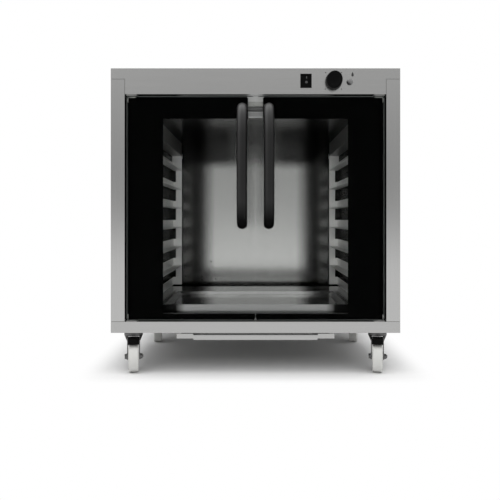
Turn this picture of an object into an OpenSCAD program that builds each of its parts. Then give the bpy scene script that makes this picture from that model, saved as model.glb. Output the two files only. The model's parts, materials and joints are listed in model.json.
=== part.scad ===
// Dough proofer cabinet: a stainless steel box on four castors with two glass doors,
// racks for baking trays, a warm water tray and a slide-out drip tray.
// Millimetres, +Z up, front towards -Y, origin on the floor under the middle of the outline.

/* [Cabinet] */
// Width of the body
body_w = 784; // [740:1:900]
// Height of the body without its castors
body_h = 717; // [700:1:760]
// Depth of the body, front rail to back panel
body_d = 665; // [640:1:720]
// Height of the castors under the body
castor_h = 113; // [110:1:125]
// Thickness of the sheet steel
sheet_t = 1.2; // [0.8:0.1:1.5]
// Width of the front posts beside the doors
post_w = 37.5; // [34:0.5:40]
// Height of the rail under the doors
base_rail_h = 30.3; // [28:0.1:34]
// Height of the control fascia over the doors
fascia_h = 70.3; // [66:0.1:76]
// Height of the strip at the top of the fascia that covers the posts
top_strip_h = 29; // [24:0.5:34]
// Open seam between a post and the pieces above and below it
seam_gap = 0.8; // [0.3:0.1:1.2]
// How far the door frame face is set back behind the front
frame_setback = 30; // [29.5:0.5:36]
// Width of the folded flanges inside the body
flange_w = 15; // [10:1:20]
// Overlap of the door frame face behind the posts, rail and fascia
frame_overlap = 12; // [8:1:16]

/* [Chamber] */
// Width of each side wall, from the outside of the body to the chamber
side_wall_w = 84; // [80:1:92]
// Distance from the back of the body to the back wall of the chamber
back_space = 45; // [40:1:65]
// Drop from the top of the body to the chamber ceiling
ceiling_drop = 129.5; // [128:0.5:140]
// Rise from the bottom of the body to the chamber floor
floor_rise = 67.5; // [62:0.5:68]
// Rise of the sill above the chamber floor
sill_rise = 5.5; // [4:0.5:7]
// Height of the ceiling hem that shows under the door frame face
ceiling_hem = 3.5; // [2.5:0.1:4.5]
// Length of the air trough at the back of the floor
trough_length = 90; // [80:1:95]
// Depth of the air trough
trough_drop = 25; // [20:1:28]
// Thickness of the insulation above the ceiling
insulation_top_t = 30; // [20:1:34]
// Free space left round each insulation slab
insulation_gap = 1.5; // [1:0.1:3]

/* [Tray racks] */
// Distance between tray levels
guide_pitch = 70; // [62:1:90]
// Height of the lowest shelf above the chamber floor
first_shelf_h = 71; // [60:0.5:80]
// Width of the shelf that carries a tray
guide_shelf_w = 30; // [24:1:32]
// Height of the strip that stands over each shelf
guide_strip_h = 27; // [20:0.5:34]
// Height of the strip at the foot of each rack
rack_foot_h = 28; // [20:0.5:34]
// Distance from the front to the front end of the guides
guide_front_d = 40; // [36:1:60]
// Width of the upright bars against the walls
upright_w = 25; // [15:1:35]
// Width of the upright sheet at the back of each rack
rear_upright_w = 22; // [18:1:26]
// Thickness of the upright bars
upright_t = 4.8; // [3:0.2:6]
// Drop from the chamber ceiling to the top of the hanger blocks
hanger_drop = 37.6; // [36:0.2:46]
// Height of the hanger blocks at the back
hanger_h = 17; // [12:1:18]
// Length of the hanger blocks, front to back
hanger_length = 22; // [16:1:40]
// Height of the air ducts in the upper corners
duct_h = 47; // [40:1:48]

/* [Water tray and heater] */
// Gap between the water tray rim and the racks
water_rim_gap = 0.5; // [0.3:0.1:1]
// Distance from the front to the front of the water tray
water_front_d = 36; // [34:1:50]
// Length of the water tray, front to back
water_length = 349; // [300:1:360]
// Width of the rim of the water tray
water_rim_w = 11; // [8:1:14]
// Depth of the water tray
water_depth = 10; // [7:1:14]
// How far the two sides of the water tray lean in
water_side_lean = 18; // [8:1:24]
// How far the front and the back of the water tray lean in
water_end_lean = 2; // [1:0.5:6]
// Diameter of the tube of the heating element
heater_tube_dia = 8; // [6:0.5:9]
// Distance between the two legs of the heating element
heater_leg_gap = 120; // [80:1:160]

/* [Doors] */
// Gap above the doors
door_gap_top = 4.3; // [4:0.1:5]
// Gap below the doors
door_gap_bottom = 3.2; // [3:0.1:4]
// Gap between a door and its post
door_gap_side = 4.5; // [4.5:0.1:6]
// Gap between the two doors
door_gap_mid = 3; // [2:0.1:5]
// Distance of the glass behind the front
glass_inset = 2; // [1.8:0.1:2.4]
// Thickness of the door glass
glass_t = 6; // [5.4:0.1:6.2]
// Radius of the glass corners
door_corner_r = 6; // [3:0.5:10]
// Width of the black border at the hinge side
border_side_w = 98.5; // [90:0.5:110]
// Width of the black border at the top
border_top_w = 61; // [52:0.5:64]
// Width of the black border at the bottom
border_bottom_w = 18; // [16:0.5:19.5]
// Width of clear glass left outside the border at the top and hinge side
border_margin = 4; // [3:0.1:5]
// Half width of the clear notch between the top borders
notch_half_w = 20.5; // [18:0.5:22]
// Thickness of the black border print
border_t = 0.4; // [0.3:0.1:0.5]
// Distance from the front to the inner face of the doors
door_back_d = 20; // [19.6:0.1:20.2]
// Distance from the outer edge of a door to its hinge axis
hinge_inset = 13; // [12.8:0.1:13.2]
// Distance of the hinge axis behind the front
hinge_axis_d = 13; // [13:0.05:13.2]
// Diameter of the hinge pins
hinge_pin_dia = 8; // [7:0.1:8]
// Width of the rubber door gasket
gasket_w = 12.6; // [10:0.2:13]

/* [Handles] */
// Distance from the middle of the cabinet to the middle of each handle
handle_x = 36; // [34:0.5:60]
// Distance between the two legs of a handle
handle_leg_gap = 316; // [240:1:340]
// Height of the upper handle leg below the top of the door
handle_top_drop = 32.6; // [30:0.2:40]
// Width of the handle seen from the front
handle_w = 28; // [22:1:30]
// Thickness of the handle, front to back
handle_t = 25; // [18:1:26]
// How far the handle stands out in front of the cabinet
handle_reach = 57; // [50:1:70]

/* [Controls] */
// Distance from the top of the body to the control axis
control_drop = 34.3; // [33:0.1:36]
// Distance of the rocker switch from the middle
switch_x = 136.7; // [100:0.5:160]
// Distance of the knob from the middle
knob_x = 212; // [190:0.5:220]
// Distance of the pilot lamp from the middle
lamp_x = 255; // [250:0.5:290]
// Drop of the pilot lamp below the control axis
lamp_drop = 3.2; // [0:0.2:5]
// Diameter of the knob
knob_dia = 53; // [44:1:54]
// Distance across the two flats of the knob
knob_flats = 45; // [36:1:48]
// Height of the knob
knob_h = 20; // [16:1:24]
// Width of the rocker switch bezel
switch_w = 30.4; // [28:0.2:34]
// Height of the rocker switch bezel
switch_h = 38; // [36:0.2:42]
// Diameter of the pilot lamp lens
lamp_dia = 17; // [14:0.5:20]

/* [Drip tray] */
// Width of the drip tray front between its ears
drip_w = 345; // [300:1:360]
// Height of the drip tray
drip_h = 13.7; // [12:0.1:15]
// Length of the drip tray, front to back
drip_length = 360; // [300:1:400]
// Drop from the body to the top of the drip tray
drip_drop = 13.3; // [12:0.1:15]
// Width of each ear of the drip tray front
drip_ear_w = 46.5; // [40:0.5:55]
// Distance of the drip tray behind the front
drip_front_d = 40; // [30:1:60]

/* [Castors] */
// Distance of the castor swivel axes from the sides of the body
castor_side_inset = 49; // [46:1:66]
// Distance of the front swivel axes behind the front
castor_front_d = 65; // [60:1:90]
// Distance of the rear swivel axes from the back of the body
castor_rear_inset = 185; // [105:1:200]
// Degrees by which the castors stand turned towards the middle
castor_turn = 11; // [0:1:15]
// Diameter of the castor wheels
wheel_dia = 84; // [80:1:84]
// Width of the castor wheels
wheel_w = 27; // [22:1:28]
// Trail of the wheel axle from the swivel axis
wheel_trail = 30; // [28:1:32]
// Width of the square castor plates
castor_plate_w = 58; // [54:1:64]
// Diameter of the wheel axles
axle_dia = 8; // [6:0.5:9]

/* [Hidden] */
$fn = 48;

// One overrun for every cut that passes right through
cut = 1;
// Thickness of the flat slices between which a tapered basin is drawn
slice_t = 0.01;
// Gap between pieces that move past each other
run_gap = 0.3;
// Radial play of a pin in its bore
pin_play = 0.05;
// Radial play of a fixed screw in its hole
screw_play = 0.2;

// Panel screws
screw_r = 2;
screw_head_r = 4;
screw_head_h = 2;
catch_screw_length = 9;

// Cable gland, earth stud and terminal block on the back panel
gland_reach = 16;
gland_r = 12;
gland_bore_r = 4.5;
gland_thread_r = 9;
gland_nut_t = 4;
gland_inset = 142;
stud_inset = 92;
stud_r = 3;
stud_nut_r = 5.5;
stud_nut_t = 4;
stud_free_length = 10;
terminal_inset = 212;
terminal_w = 60;
terminal_h = 22;
terminal_t = 24;
terminal_pitch = 10;
terminal_screw_r = 2.4;
terminal_screw_h = 1.5;
back_fitting_drop = 45;

// Places along X, and heights above the floor
body_x = body_w / 2;
inner_x = body_x - sheet_t;
post_x = body_x - post_w;
chamber_x = body_x - side_wall_w;
castor_x = body_x - castor_side_inset;
gland_x = body_x - gland_inset;
stud_x = body_x - stud_inset;
terminal_x = body_x - terminal_inset;
rack_face_x = chamber_x - upright_t - sheet_t;
rack_x = rack_face_x - guide_shelf_w;
body_z0 = castor_h;
body_z1 = castor_h + body_h;
rail_z = body_z0 + base_rail_h;
fascia_z = body_z1 - fascia_h;
strip_z = body_z1 - top_strip_h;
floor_z = body_z0 + floor_rise;
ceiling_z = body_z1 - ceiling_drop;
sill_z = floor_z + sill_rise;
control_z = body_z1 - control_drop;
back_fitting_z = body_z1 - back_fitting_drop;

// Depths behind the front face; front_y puts the middle of the outline on the origin
chamber_back_d = body_d - back_space;
guide_back_d = chamber_back_d - hanger_length;
castor_rear_d = body_d - castor_rear_inset;
front_y = (handle_reach - body_d - gland_reach) / 2;
frame_back_d = frame_setback + sheet_t;
back_skin_d = body_d - sheet_t;
liner_x = chamber_x + sheet_t;
trough_front_d = chamber_back_d - trough_length;

// Doors
door_x0 = door_gap_mid / 2;
door_x1 = post_x - door_gap_side;
door_z0 = rail_z + door_gap_bottom;
door_z1 = fascia_z - door_gap_top;
glass_back_d = glass_inset + glass_t;
print_back_d = glass_back_d + border_t;
hinge_x = door_x1 - hinge_inset;
hinge_pin_r = hinge_pin_dia / 2;
hinge_block_half_w = 11.4;
hinge_block_h = 14;
hinge_plate_half_w = 14;
hinge_plate_front_d = 5;
hinge_plate_top_t = 2.8;
hinge_plate_bottom_t = 2;
hinge_washer_r = 7;
hinge_pin_length = 11;
frame_hide = 2.5;
door_seal_gap = 0.3;
gasket_side_gap = 4;
gasket_x = chamber_x + gasket_side_gap;
gasket_over_border = 35.5;
gasket_top_z = door_z1 - border_top_w + gasket_over_border;
gasket_foot_gap = 3.5;
gasket_bottom_z = door_z0 + gasket_foot_gap;
gasket_lip_t = 2.4;
catch_plate_t = 1.5;
catch_plate_x0 = notch_half_w + frame_hide;
catch_plate_w = 21;
catch_h = 12;
catch_gap = 1.6;
catch_z = gasket_top_z + catch_gap;
magnet_half_w = 45;

// Handles
handle_z1 = door_z1 - handle_top_drop;
handle_z0 = handle_z1 - handle_leg_gap;
handle_centre_reach = handle_reach + glass_inset - handle_t / 2;
handle_bow_share = 0.62;
handle_rings = 40;
handle_sides = 16;
handle_screw_r = 3;
handle_screw_deep = 15;
handle_screw_head_r = 6.5;
handle_screw_head_h = 3.5;
access_hole_r = 8;

// Controls
knob_gap = 1;
spindle_r = 3;
spindle_out = 15;
bush_r = 5;
thermostat_w = 36;
thermostat_t = 28;
spindle_in = 12;
knob_slot_w = 3;
knob_slot_deep = 1;
knob_face_inset = 3;
switch_body_share = 0.88;
switch_body_t = 26;
switch_proud = 2;
switch_well_share = 0.74;
switch_well_deep = 12;
rocker_gap = 0.4;
rocker_tilt = 8;
rocker_axis_in = 2.5;
rocker_pin_r = 1.5;
rocker_pin_length = 1.2;
rocker_tip = 4;
rocker_waist = 2;
rocker_deep = 6;
rocker_rim_share = 0.9;
lamp_stem_r = 6;
lamp_dome_h = 5;
lamp_flange_t = 1;
lamp_body_t = 24;
lamp_z = control_z - lamp_drop;
switch_body_half_w = switch_w * switch_body_share / 2;
switch_body_half_h = switch_h * switch_body_share / 2;
wire_r = 1.2;
capillary_r = 1;
sensor_bulb_r = 3;
sensor_bulb_length = 80;
sensor_d = 150;

// Drip tray and its runners
drip_z1 = body_z0 - drip_drop;
drip_z0 = drip_z1 - drip_h;
drip_ear_rise = 4;
drip_rim_w = 30;
drip_x = drip_w / 2 - sheet_t;
runner_gap = 4;
runner_ledge_w = 27;
runner_foot_w = 10;
runner_x = drip_x + drip_rim_w + runner_gap;

// Castors
castor_plate_t = 2.5;
castor_hole_share = 0.36;
castor_neck_r = 22;
castor_neck_h = 4.5;
king_pin_r = 6;
king_head_r = 9;
king_head_h = 3;
fork_race_h = 3.7;
fork_race_r = 24;
fork_crown_h = 5.5;
fork_crown_r = 26;
fork_skirt_h = 11;
fork_leg_t = 2.5;
wheel_side_gap = 1.5;
fork_gap = wheel_w + 2 * wheel_side_gap;
fork_leg_foot_r = 9;
wheel_r = wheel_dia / 2;
wheel_hub_r = 11;
wheel_tread_r = 4;
wheel_web_inset = 4;
wheel_web_r0 = 15;
axle_r = axle_dia / 2;
axle_washer_t = 1.5;
axle_head_r = 7;
axle_head_t = 5;
axle_end = 2.5;
fork_top_z = body_z0 - castor_plate_t - castor_neck_h - run_gap;
crown_z1 = fork_top_z - fork_race_h;
crown_z0 = crown_z1 - fork_crown_h;
pedal_axis_y = -26;
pedal_drop = 5;
pedal_axis_z = crown_z0 - pedal_drop;
pedal_pin_r = 2.5;
pedal_arm_gap = 0.5;
pedal_w = 30;
pedal_front_y = -64;

steel = "lightgray";
dark_steel = "dimgray";
black = "#1a1a1a";

// The span that reaches a half length to both sides of a middle
function around(mid, half) = [mid - half, mid + half];

// A box between two corners: across, in depth behind the front, and in height
module block(x, d, z) {
    translate([x[0], front_y + d[0], z[0]])
        cube([x[1] - x[0], d[1] - d[0], z[1] - z[0]]);
}

// The same piece on the left and on the right
module both_sides() {
    children();
    mirror([1, 0, 0]) children();
}

// A round bar along the depth, from depth d0 to depth d1
module bar_y(x, d0, d1, z, r) {
    translate([x, front_y + d0, z]) rotate([-90, 0, 0]) cylinder(h = d1 - d0, r = r);
}

// A round bar along the width, from x0 to x1
module bar_x(x0, x1, y, z, r) {
    translate([x0, y, z]) rotate([0, 90, 0]) cylinder(h = x1 - x0, r = r);
}

// A round bar upwards from z0 to z1
module bar_z(x, y, z0, z1, r) {
    translate([x, y, z0]) cylinder(h = z1 - z0, r = r);
}

// A flat outline drawn in X and Z becomes a sheet from depth d0 to depth d1
module sheet_xz(d0, d1) {
    translate([0, front_y + d1, 0]) rotate([90, 0, 0]) linear_extrude(d1 - d0) children();
}

// A flat rectangle between two corners
module rect(x, z) {
    translate([x[0], z[0]]) square([x[1] - x[0], z[1] - z[0]]);
}

// A rectangle with round corners, made of squares and circles
module round_rect(x, z, r) {
    rect([x[0] + r, x[1] - r], z);
    rect(x, [z[0] + r, z[1] - r]);
    for (cx = [x[0] + r, x[1] - r], cz = [z[0] + r, z[1] - r])
        translate([cx, cz]) circle(r = r);
}

// The four corners of a square hole pattern
module four_corners(half) {
    for (sx = [-half, half], sy = [-half, half]) translate([sx, sy, 0]) children();
}

// The four castor places: child 0 at the front, child 0 at the back
module castor_places() {
    for (sx = [-castor_x, castor_x], d = [castor_front_d, castor_rear_d])
        translate([sx, front_y + d, 0]) children();
}

castor_hole_half = castor_plate_w * castor_hole_share;

// Places of the runner screws under the body
runner_screw_x = runner_x + sheet_t + runner_foot_w / 2;
runner_inset = 60;
runner_screw_d = [drip_front_d + runner_inset, drip_front_d + drip_length - runner_inset];

// Places of the screws round the back panel
back_screw_x = inner_x - flange_w / 2;
back_screw_count = 4;
back_screw_inset = 60;
back_screw_z = [for (k = [0:back_screw_count - 1])
    body_z0 + back_screw_inset + k * (body_h - 2 * back_screw_inset) / (back_screw_count - 1)];

module base_tray() {
    color(steel) difference() {
        union() {
            block([-body_x, body_x], [0, sheet_t], [body_z0, rail_z]);
            block([-inner_x, inner_x], [sheet_t, back_skin_d], [body_z0, body_z0 + sheet_t]);
            block([-inner_x, inner_x], [sheet_t, frame_setback], [rail_z - sheet_t, rail_z]);
            both_sides() block([inner_x - sheet_t, inner_x], [sheet_t, back_skin_d - 2 * sheet_t],
                [body_z0, body_z0 + flange_w]);
        }
        castor_places() four_corners(castor_hole_half)
            bar_z(0, 0, body_z0 - cut, body_z0 + sheet_t + cut, screw_r + screw_play);
        both_sides() for (d = runner_screw_d)
            bar_z(runner_screw_x, front_y + d, body_z0 - cut, body_z0 + sheet_t + cut,
                screw_r + screw_play);
        hinge_screw_holes(rail_z - sheet_t - cut, rail_z + cut, screw_r + screw_play);
    }
}

// Holes for the two screws of each hinge bracket
hinge_screw_half = 8.5;
hinge_screw_back = 4.5;
module hinge_screw_holes(z0, z1, r) {
    both_sides() for (sx = [-hinge_screw_half, hinge_screw_half])
        bar_z(hinge_x + sx, front_y + frame_setback - hinge_screw_back, z0, z1, r);
}

module side_panel() {
    color(steel) difference() {
        union() {
            block([inner_x, body_x], [sheet_t, body_d], [body_z0, body_z1 - sheet_t]);
            block([post_x, body_x], [0, sheet_t], [rail_z + seam_gap, strip_z - seam_gap]);
            block([post_x, post_x + sheet_t], [0, frame_setback],
                [rail_z + seam_gap, strip_z - seam_gap]);
            block([inner_x - flange_w, inner_x], [back_skin_d - sheet_t, back_skin_d],
                [body_z0 + sheet_t, body_z1 - sheet_t]);
        }
        for (z = back_screw_z)
            bar_y(back_screw_x, back_skin_d - sheet_t - cut, body_d + cut, z, screw_r + screw_play);
    }
}

module side_panel_right() { side_panel(); }

module side_panel_left() { mirror([1, 0, 0]) side_panel(); }

module top_panel() {
    color(steel) {
        block([-body_x, body_x], [0, body_d], [body_z1 - sheet_t, body_z1]);
        both_sides() block([inner_x - sheet_t, inner_x],
            [frame_back_d, back_skin_d - 2 * sheet_t],
            [body_z1 - flange_w, body_z1 - sheet_t]);
    }
}

module back_panel() {
    color(steel) difference() {
        block([-inner_x, inner_x], [back_skin_d, body_d], [body_z0, body_z1 - sheet_t]);
        both_sides() for (z = back_screw_z)
            bar_y(back_screw_x, back_skin_d - cut, body_d + cut, z, screw_r + screw_play);
        bar_y(gland_x, back_skin_d - cut, body_d + cut, back_fitting_z, gland_thread_r + screw_play);
        bar_y(stud_x, back_skin_d - cut, body_d + cut, back_fitting_z, stud_r + screw_play);
    }
}

module control_fascia() {
    color(steel) difference() {
        union() {
            block([-body_x, body_x], [0, sheet_t], [strip_z, body_z1 - sheet_t]);
            block([seam_gap - post_x, post_x - seam_gap], [0, sheet_t], [fascia_z, strip_z]);
            block([seam_gap - post_x, post_x - seam_gap], [0, frame_setback],
                [fascia_z, fascia_z + sheet_t]);
        }
        block(around(switch_x, switch_body_half_w + screw_play), [-cut, sheet_t + cut],
            around(control_z, switch_body_half_h + screw_play));
        bar_y(knob_x, -cut, sheet_t + cut, control_z, bush_r + screw_play);
        bar_y(lamp_x, -cut, sheet_t + cut, lamp_z, lamp_stem_r + screw_play);
        hinge_screw_holes(fascia_z - cut, fascia_z + sheet_t + cut, screw_r + screw_play);
    }
}

module front_frame() {
    frame_x = post_x + frame_overlap;
    frame_z0 = rail_z - frame_overlap;
    frame_z1 = fascia_z + frame_overlap;
    depth = [frame_setback, frame_back_d];
    color(steel) difference() {
        block([-frame_x, frame_x], depth, [frame_z0, frame_z1]);
        block([-chamber_x, chamber_x], [frame_setback - cut, frame_back_d + cut],
            [sill_z, ceiling_z + ceiling_hem]);
        bar_y(0, frame_setback - cut, frame_back_d + cut, catch_z + catch_h / 2,
            screw_r + screw_play);
    }
}

// Outline of the water tray cut-out in the floor
water_rim_x = rack_x - water_rim_gap;
water_x = water_rim_x - water_rim_w;
water_back_d = water_front_d + water_length;

module cavity_floor() {
    trough_z = floor_z - trough_drop;
    color(steel) difference() {
        union() {
            block([-liner_x, liner_x], [frame_back_d, trough_front_d], [floor_z - sheet_t, floor_z]);
            block([-liner_x, liner_x], [trough_front_d - sheet_t, trough_front_d],
                [trough_z - sheet_t, floor_z]);
            block([-liner_x, liner_x], [trough_front_d - sheet_t, chamber_back_d],
                [trough_z - sheet_t, trough_z]);
            both_sides() block([chamber_x, liner_x], [trough_front_d, chamber_back_d],
                [trough_z, floor_z]);
        }
        block([-water_x - run_gap, water_x + run_gap],
            [water_front_d + water_rim_w - run_gap, water_back_d - water_rim_w + run_gap],
            [floor_z - sheet_t - cut, floor_z + cut]);
    }
}

module cavity_ceiling() {
    color(steel) difference() {
        union() {
            block([-liner_x, liner_x], [frame_back_d, chamber_back_d],
                [ceiling_z, ceiling_z + sheet_t]);
            block([-liner_x, liner_x], [frame_back_d, frame_back_d + sheet_t],
                [ceiling_z, ceiling_z + flange_w]);
        }
        bar_z(sensor_x, front_y + sensor_d, ceiling_z - cut, ceiling_z + sheet_t + cut,
            capillary_r + screw_play);
    }
}

module cavity_wall_right() {
    color(steel) block([chamber_x, liner_x], [frame_back_d, chamber_back_d], [floor_z, ceiling_z]);
}

module cavity_wall_left() { mirror([1, 0, 0]) cavity_wall_right(); }

module cavity_back() {
    color(steel) block([-liner_x, liner_x], [chamber_back_d, chamber_back_d + sheet_t],
        [floor_z - trough_drop - sheet_t, ceiling_z + sheet_t]);
}

module insulation() {
    g = insulation_gap;
    slab_d = [frame_back_d + sheet_t + g, chamber_back_d - g];
    color("khaki") {
        difference() {
            block([g - liner_x, liner_x - g], slab_d,
                [ceiling_z + sheet_t, ceiling_z + sheet_t + insulation_top_t]);
            bar_z(sensor_x, front_y + sensor_d, ceiling_z, ceiling_z + 2 * insulation_top_t,
                capillary_r + screw_play);
        }
        both_sides() block([liner_x, inner_x - sheet_t - g], slab_d,
            [floor_z + g, ceiling_z - g]);
        block([g - liner_x, liner_x - g],
            [chamber_back_d + sheet_t, back_skin_d - sheet_t - g], [floor_z + g, ceiling_z - g]);
    }
}

// Height of the shelf of one tray level; the levels fill the height up to the hanger blocks
function shelf_z(k) = floor_z + first_shelf_h + k * guide_pitch;

rear_upright_z = ceiling_z - hanger_drop - hanger_h;
guide_count = 1 + floor((rear_upright_z - guide_strip_h - shelf_z(0)) / guide_pitch);
rack_top_z = shelf_z(guide_count - 1) + guide_strip_h;

// Shelves with a strip over each, a strip at the foot, and the uprights that join them
module rack() {
    depth = [guide_front_d, guide_back_d];
    strip_x = [rack_face_x, rack_face_x + sheet_t];
    rear_depth = [guide_back_d - sheet_t, guide_back_d];
    color(steel) {
        block(strip_x, depth, [floor_z, floor_z + rack_foot_h]);
        block([rack_x, strip_x[1]], rear_depth, [floor_z, floor_z + rack_foot_h]);
        for (k = [0:guide_count - 1]) {
            z = shelf_z(k) - sheet_t;
            block(strip_x, depth, [z, z + sheet_t + guide_strip_h]);
            block([rack_x, strip_x[1]], rear_depth, [z, z + sheet_t + guide_strip_h]);
            block([rack_x, strip_x[1]], depth, [z, z + sheet_t]);
        }
        for (d = [guide_front_d + upright_w, (guide_front_d + guide_back_d) / 2])
            block([strip_x[1], chamber_x], [d, d + upright_w], [floor_z, rack_top_z]);
        block([rack_x, rack_x + rear_upright_w], rear_depth, [floor_z, rear_upright_z]);
    }
}

module rack_right() { rack(); }

module rack_left() { mirror([1, 0, 0]) rack(); }

module rack_hangers() {
    color(dark_steel) both_sides()
        block([rack_x, chamber_x], [chamber_back_d - hanger_length, chamber_back_d],
            [rear_upright_z, rear_upright_z + hanger_h]);
    color(dark_steel) both_sides()
        block([chamber_x - upright_w, chamber_x], [guide_back_d, chamber_back_d],
            [rear_upright_z - hanger_h, rear_upright_z]);
}

duct_end_d = chamber_back_d - hanger_length - 2 * insulation_gap;
module air_ducts() {
    depth = [frame_back_d + insulation_gap, duct_end_d];
    z = ceiling_z - duct_h;
    color(steel) both_sides() {
        block([rack_x, rack_x + sheet_t], depth, [z, ceiling_z]);
        block([rack_x, chamber_x], depth, [z, z + sheet_t]);
        for (d = [depth[0], depth[1] - sheet_t])
            block([rack_x, chamber_x], [d, d + sheet_t], [z, ceiling_z]);
    }
}

// A tapered basin: the opening outline shrinks by a share of the leans down to its bottom
module basin(grow, z0, z1, lean_share) {
    x1 = water_x + grow;
    x0 = x1 - water_side_lean * lean_share;
    d0 = water_front_d + water_rim_w - grow;
    d1 = water_back_d - water_rim_w + grow;
    inset = water_end_lean * lean_share;
    hull() {
        block([-x1, x1], [d0, d1], [z1 - slice_t, z1]);
        block([-x0, x0], [d0 + inset, d1 - inset], [z0, z0 + slice_t]);
    }
}

module water_tray() {
    inner_lean_share = 1 + (cut - sheet_t) / water_depth;
    color(steel) difference() {
        union() {
            block([-water_rim_x, water_rim_x], [water_front_d, water_back_d],
                [floor_z, floor_z + sheet_t]);
            basin(0, floor_z - water_depth, floor_z + sheet_t, 1);
        }
        basin(-sheet_t, floor_z - water_depth + sheet_t, floor_z + sheet_t + cut,
            inner_lean_share);
    }
}

// The hairpin heating element lies under the water tray on two brackets
heater_tail = 25;
heater_r = heater_tube_dia / 2;
heater_front_d = water_front_d + heater_leg_gap;
heater_back_d = chamber_back_d - heater_tail;
heater_end_r = heater_r + sheet_t;
heater_z = floor_z - trough_drop - sheet_t - 2 * heater_end_r;
heater_end_length = 30;
heater_plate_share = [0.25, 0.75];

module heating_element() {
    half = heater_leg_gap / 2;
    color(dark_steel) {
        both_sides() {
            bar_y(half, heater_front_d, heater_back_d, heater_z, heater_r);
            bar_y(half, heater_back_d, heater_back_d + heater_end_length, heater_z, heater_end_r);
        }
        translate([0, front_y + heater_front_d, heater_z]) rotate([0, 0, 180])
            rotate_extrude(angle = 180) translate([half, 0]) circle(r = heater_r);
    }
    color(steel) for (s = heater_plate_share) {
        d = heater_front_d + s * (heater_back_d - heater_front_d);
        difference() {
            block([-heater_leg_gap, heater_leg_gap], [d, d + sheet_t],
                [body_z0 + sheet_t, heater_z + 2 * heater_r]);
            both_sides() bar_y(half, d - cut, d + sheet_t + cut, heater_z, heater_r + screw_play);
        }
    }
}

// A rectangular ring drawn in X and Z
module ring_xz(x, z0, z1, w) {
    difference() {
        rect([-x - w, x + w], [z0 - w, z1 + w]);
        rect([-x, x], [z0, z1]);
    }
}

module door_gasket() {
    x = gasket_x;
    z0 = gasket_bottom_z + gasket_w;
    z1 = gasket_top_z - gasket_w;
    lip = (gasket_w - 2 * gasket_lip_t) / 2;
    color(black) {
        sheet_xz(frame_setback - gasket_lip_t, frame_setback) ring_xz(x, z0, z1, gasket_w);
        sheet_xz(door_back_d + door_seal_gap, frame_setback)
            ring_xz(x + lip, z0 - lip, z1 + lip, 2 * gasket_lip_t);
    }
}

module magnet_catch() {
    color(steel) difference() {
        block([-magnet_half_w, magnet_half_w],
            [door_back_d + catch_plate_t + door_seal_gap, frame_setback],
            [catch_z, catch_z + catch_h]);
        bar_y(0, door_back_d, frame_setback + cut, catch_z + catch_h / 2, screw_r + screw_play);
    }
}

// One hinge bracket of the right door: plate, pin and thrust washer
module hinge_bracket(z_plate, plate_t, up) {
    z_face = up ? z_plate + plate_t : z_plate;
    step = up ? 1 : -1;
    door_gap = up ? door_z0 - z_face : z_face - door_z1;
    difference() {
        block([hinge_x - hinge_plate_half_w, hinge_x + hinge_plate_half_w],
            [hinge_plate_front_d, frame_setback], [z_plate, z_plate + plate_t]);
        hinge_screw_holes(z_plate - cut, z_plate + plate_t + cut, screw_r + screw_play);
    }
    translate([hinge_x, front_y + hinge_axis_d, z_face]) scale([1, 1, step]) {
        cylinder(h = door_gap + hinge_pin_length, r = hinge_pin_r);
        cylinder(h = door_gap - run_gap, r = hinge_washer_r);
    }
}

module hinge_brackets() {
    color(steel) both_sides() {
        hinge_bracket(rail_z, hinge_plate_bottom_t, true);
        hinge_bracket(fascia_z - hinge_plate_top_t, hinge_plate_top_t, false);
    }
}

module thermostat_body() {
    half = thermostat_w / 2;
    color("lightgray") difference() {
        union() {
            block(around(knob_x, half), [sheet_t, sheet_t + thermostat_t],
                around(control_z, half));
            bar_y(knob_x, -knob_gap / 2, sheet_t + thermostat_t, control_z, bush_r);
        }
        bar_y(knob_x, -cut - knob_gap, spindle_in, control_z, spindle_r + pin_play);
    }
}

// The capillary runs from the thermostat back over the ceiling and down to the bulb
sensor_x = chamber_x - guide_shelf_w / 2;
sensor_z = ceiling_z - duct_h / 2;
sensor_clip_t = 2;

module thermostat_sensor() {
    y = front_y + sensor_d;
    start_d = sheet_t + thermostat_t;
    color("peru") {
        bar_y(knob_x, start_d, sensor_d, control_z, capillary_r);
        bar_x(knob_x, sensor_x, y, control_z, capillary_r);
        bar_z(sensor_x, y, sensor_z, control_z, capillary_r);
        for (p = [[knob_x, control_z], [sensor_x, control_z]])
            translate([p[0], y, p[1]]) sphere(r = capillary_r);
        bar_y(sensor_x, sensor_d, sensor_d + sensor_bulb_length, sensor_z, sensor_bulb_r);
        translate([sensor_x, y, sensor_z]) sphere(r = sensor_bulb_r);
    }
    color(steel) difference() {
        block([rack_x + sheet_t, chamber_x], around(sensor_d + sensor_bulb_length / 2, sensor_clip_t / 2),
            around(sensor_z, 2 * sensor_bulb_r));
        bar_y(sensor_x, sensor_d, sensor_d + sensor_bulb_length, sensor_z, sensor_bulb_r + screw_play);
    }
}

switch_well_w = switch_w * switch_well_share;
switch_well_h = switch_h * switch_well_share + 2 * rocker_gap;
rocker_w = switch_well_w - 2 * rocker_gap;
rocker_h = switch_well_h - 4 * rocker_gap;

module switch_housing() {
    pin_reach = switch_well_w / 2 + rocker_pin_length;
    color(black) difference() {
        union() {
            block(around(switch_x, switch_w / 2), [-switch_proud, 0], around(control_z, switch_h / 2));
            block(around(switch_x, switch_body_half_w), [-switch_proud, switch_body_t],
                around(control_z, switch_body_half_h));
        }
        block(around(switch_x, switch_well_w / 2), [-switch_proud - cut, switch_well_deep],
            around(control_z, switch_well_h / 2));
        bar_x(switch_x - pin_reach, switch_x + pin_reach, front_y + rocker_axis_in, control_z,
            rocker_pin_r + pin_play);
    }
}

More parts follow.
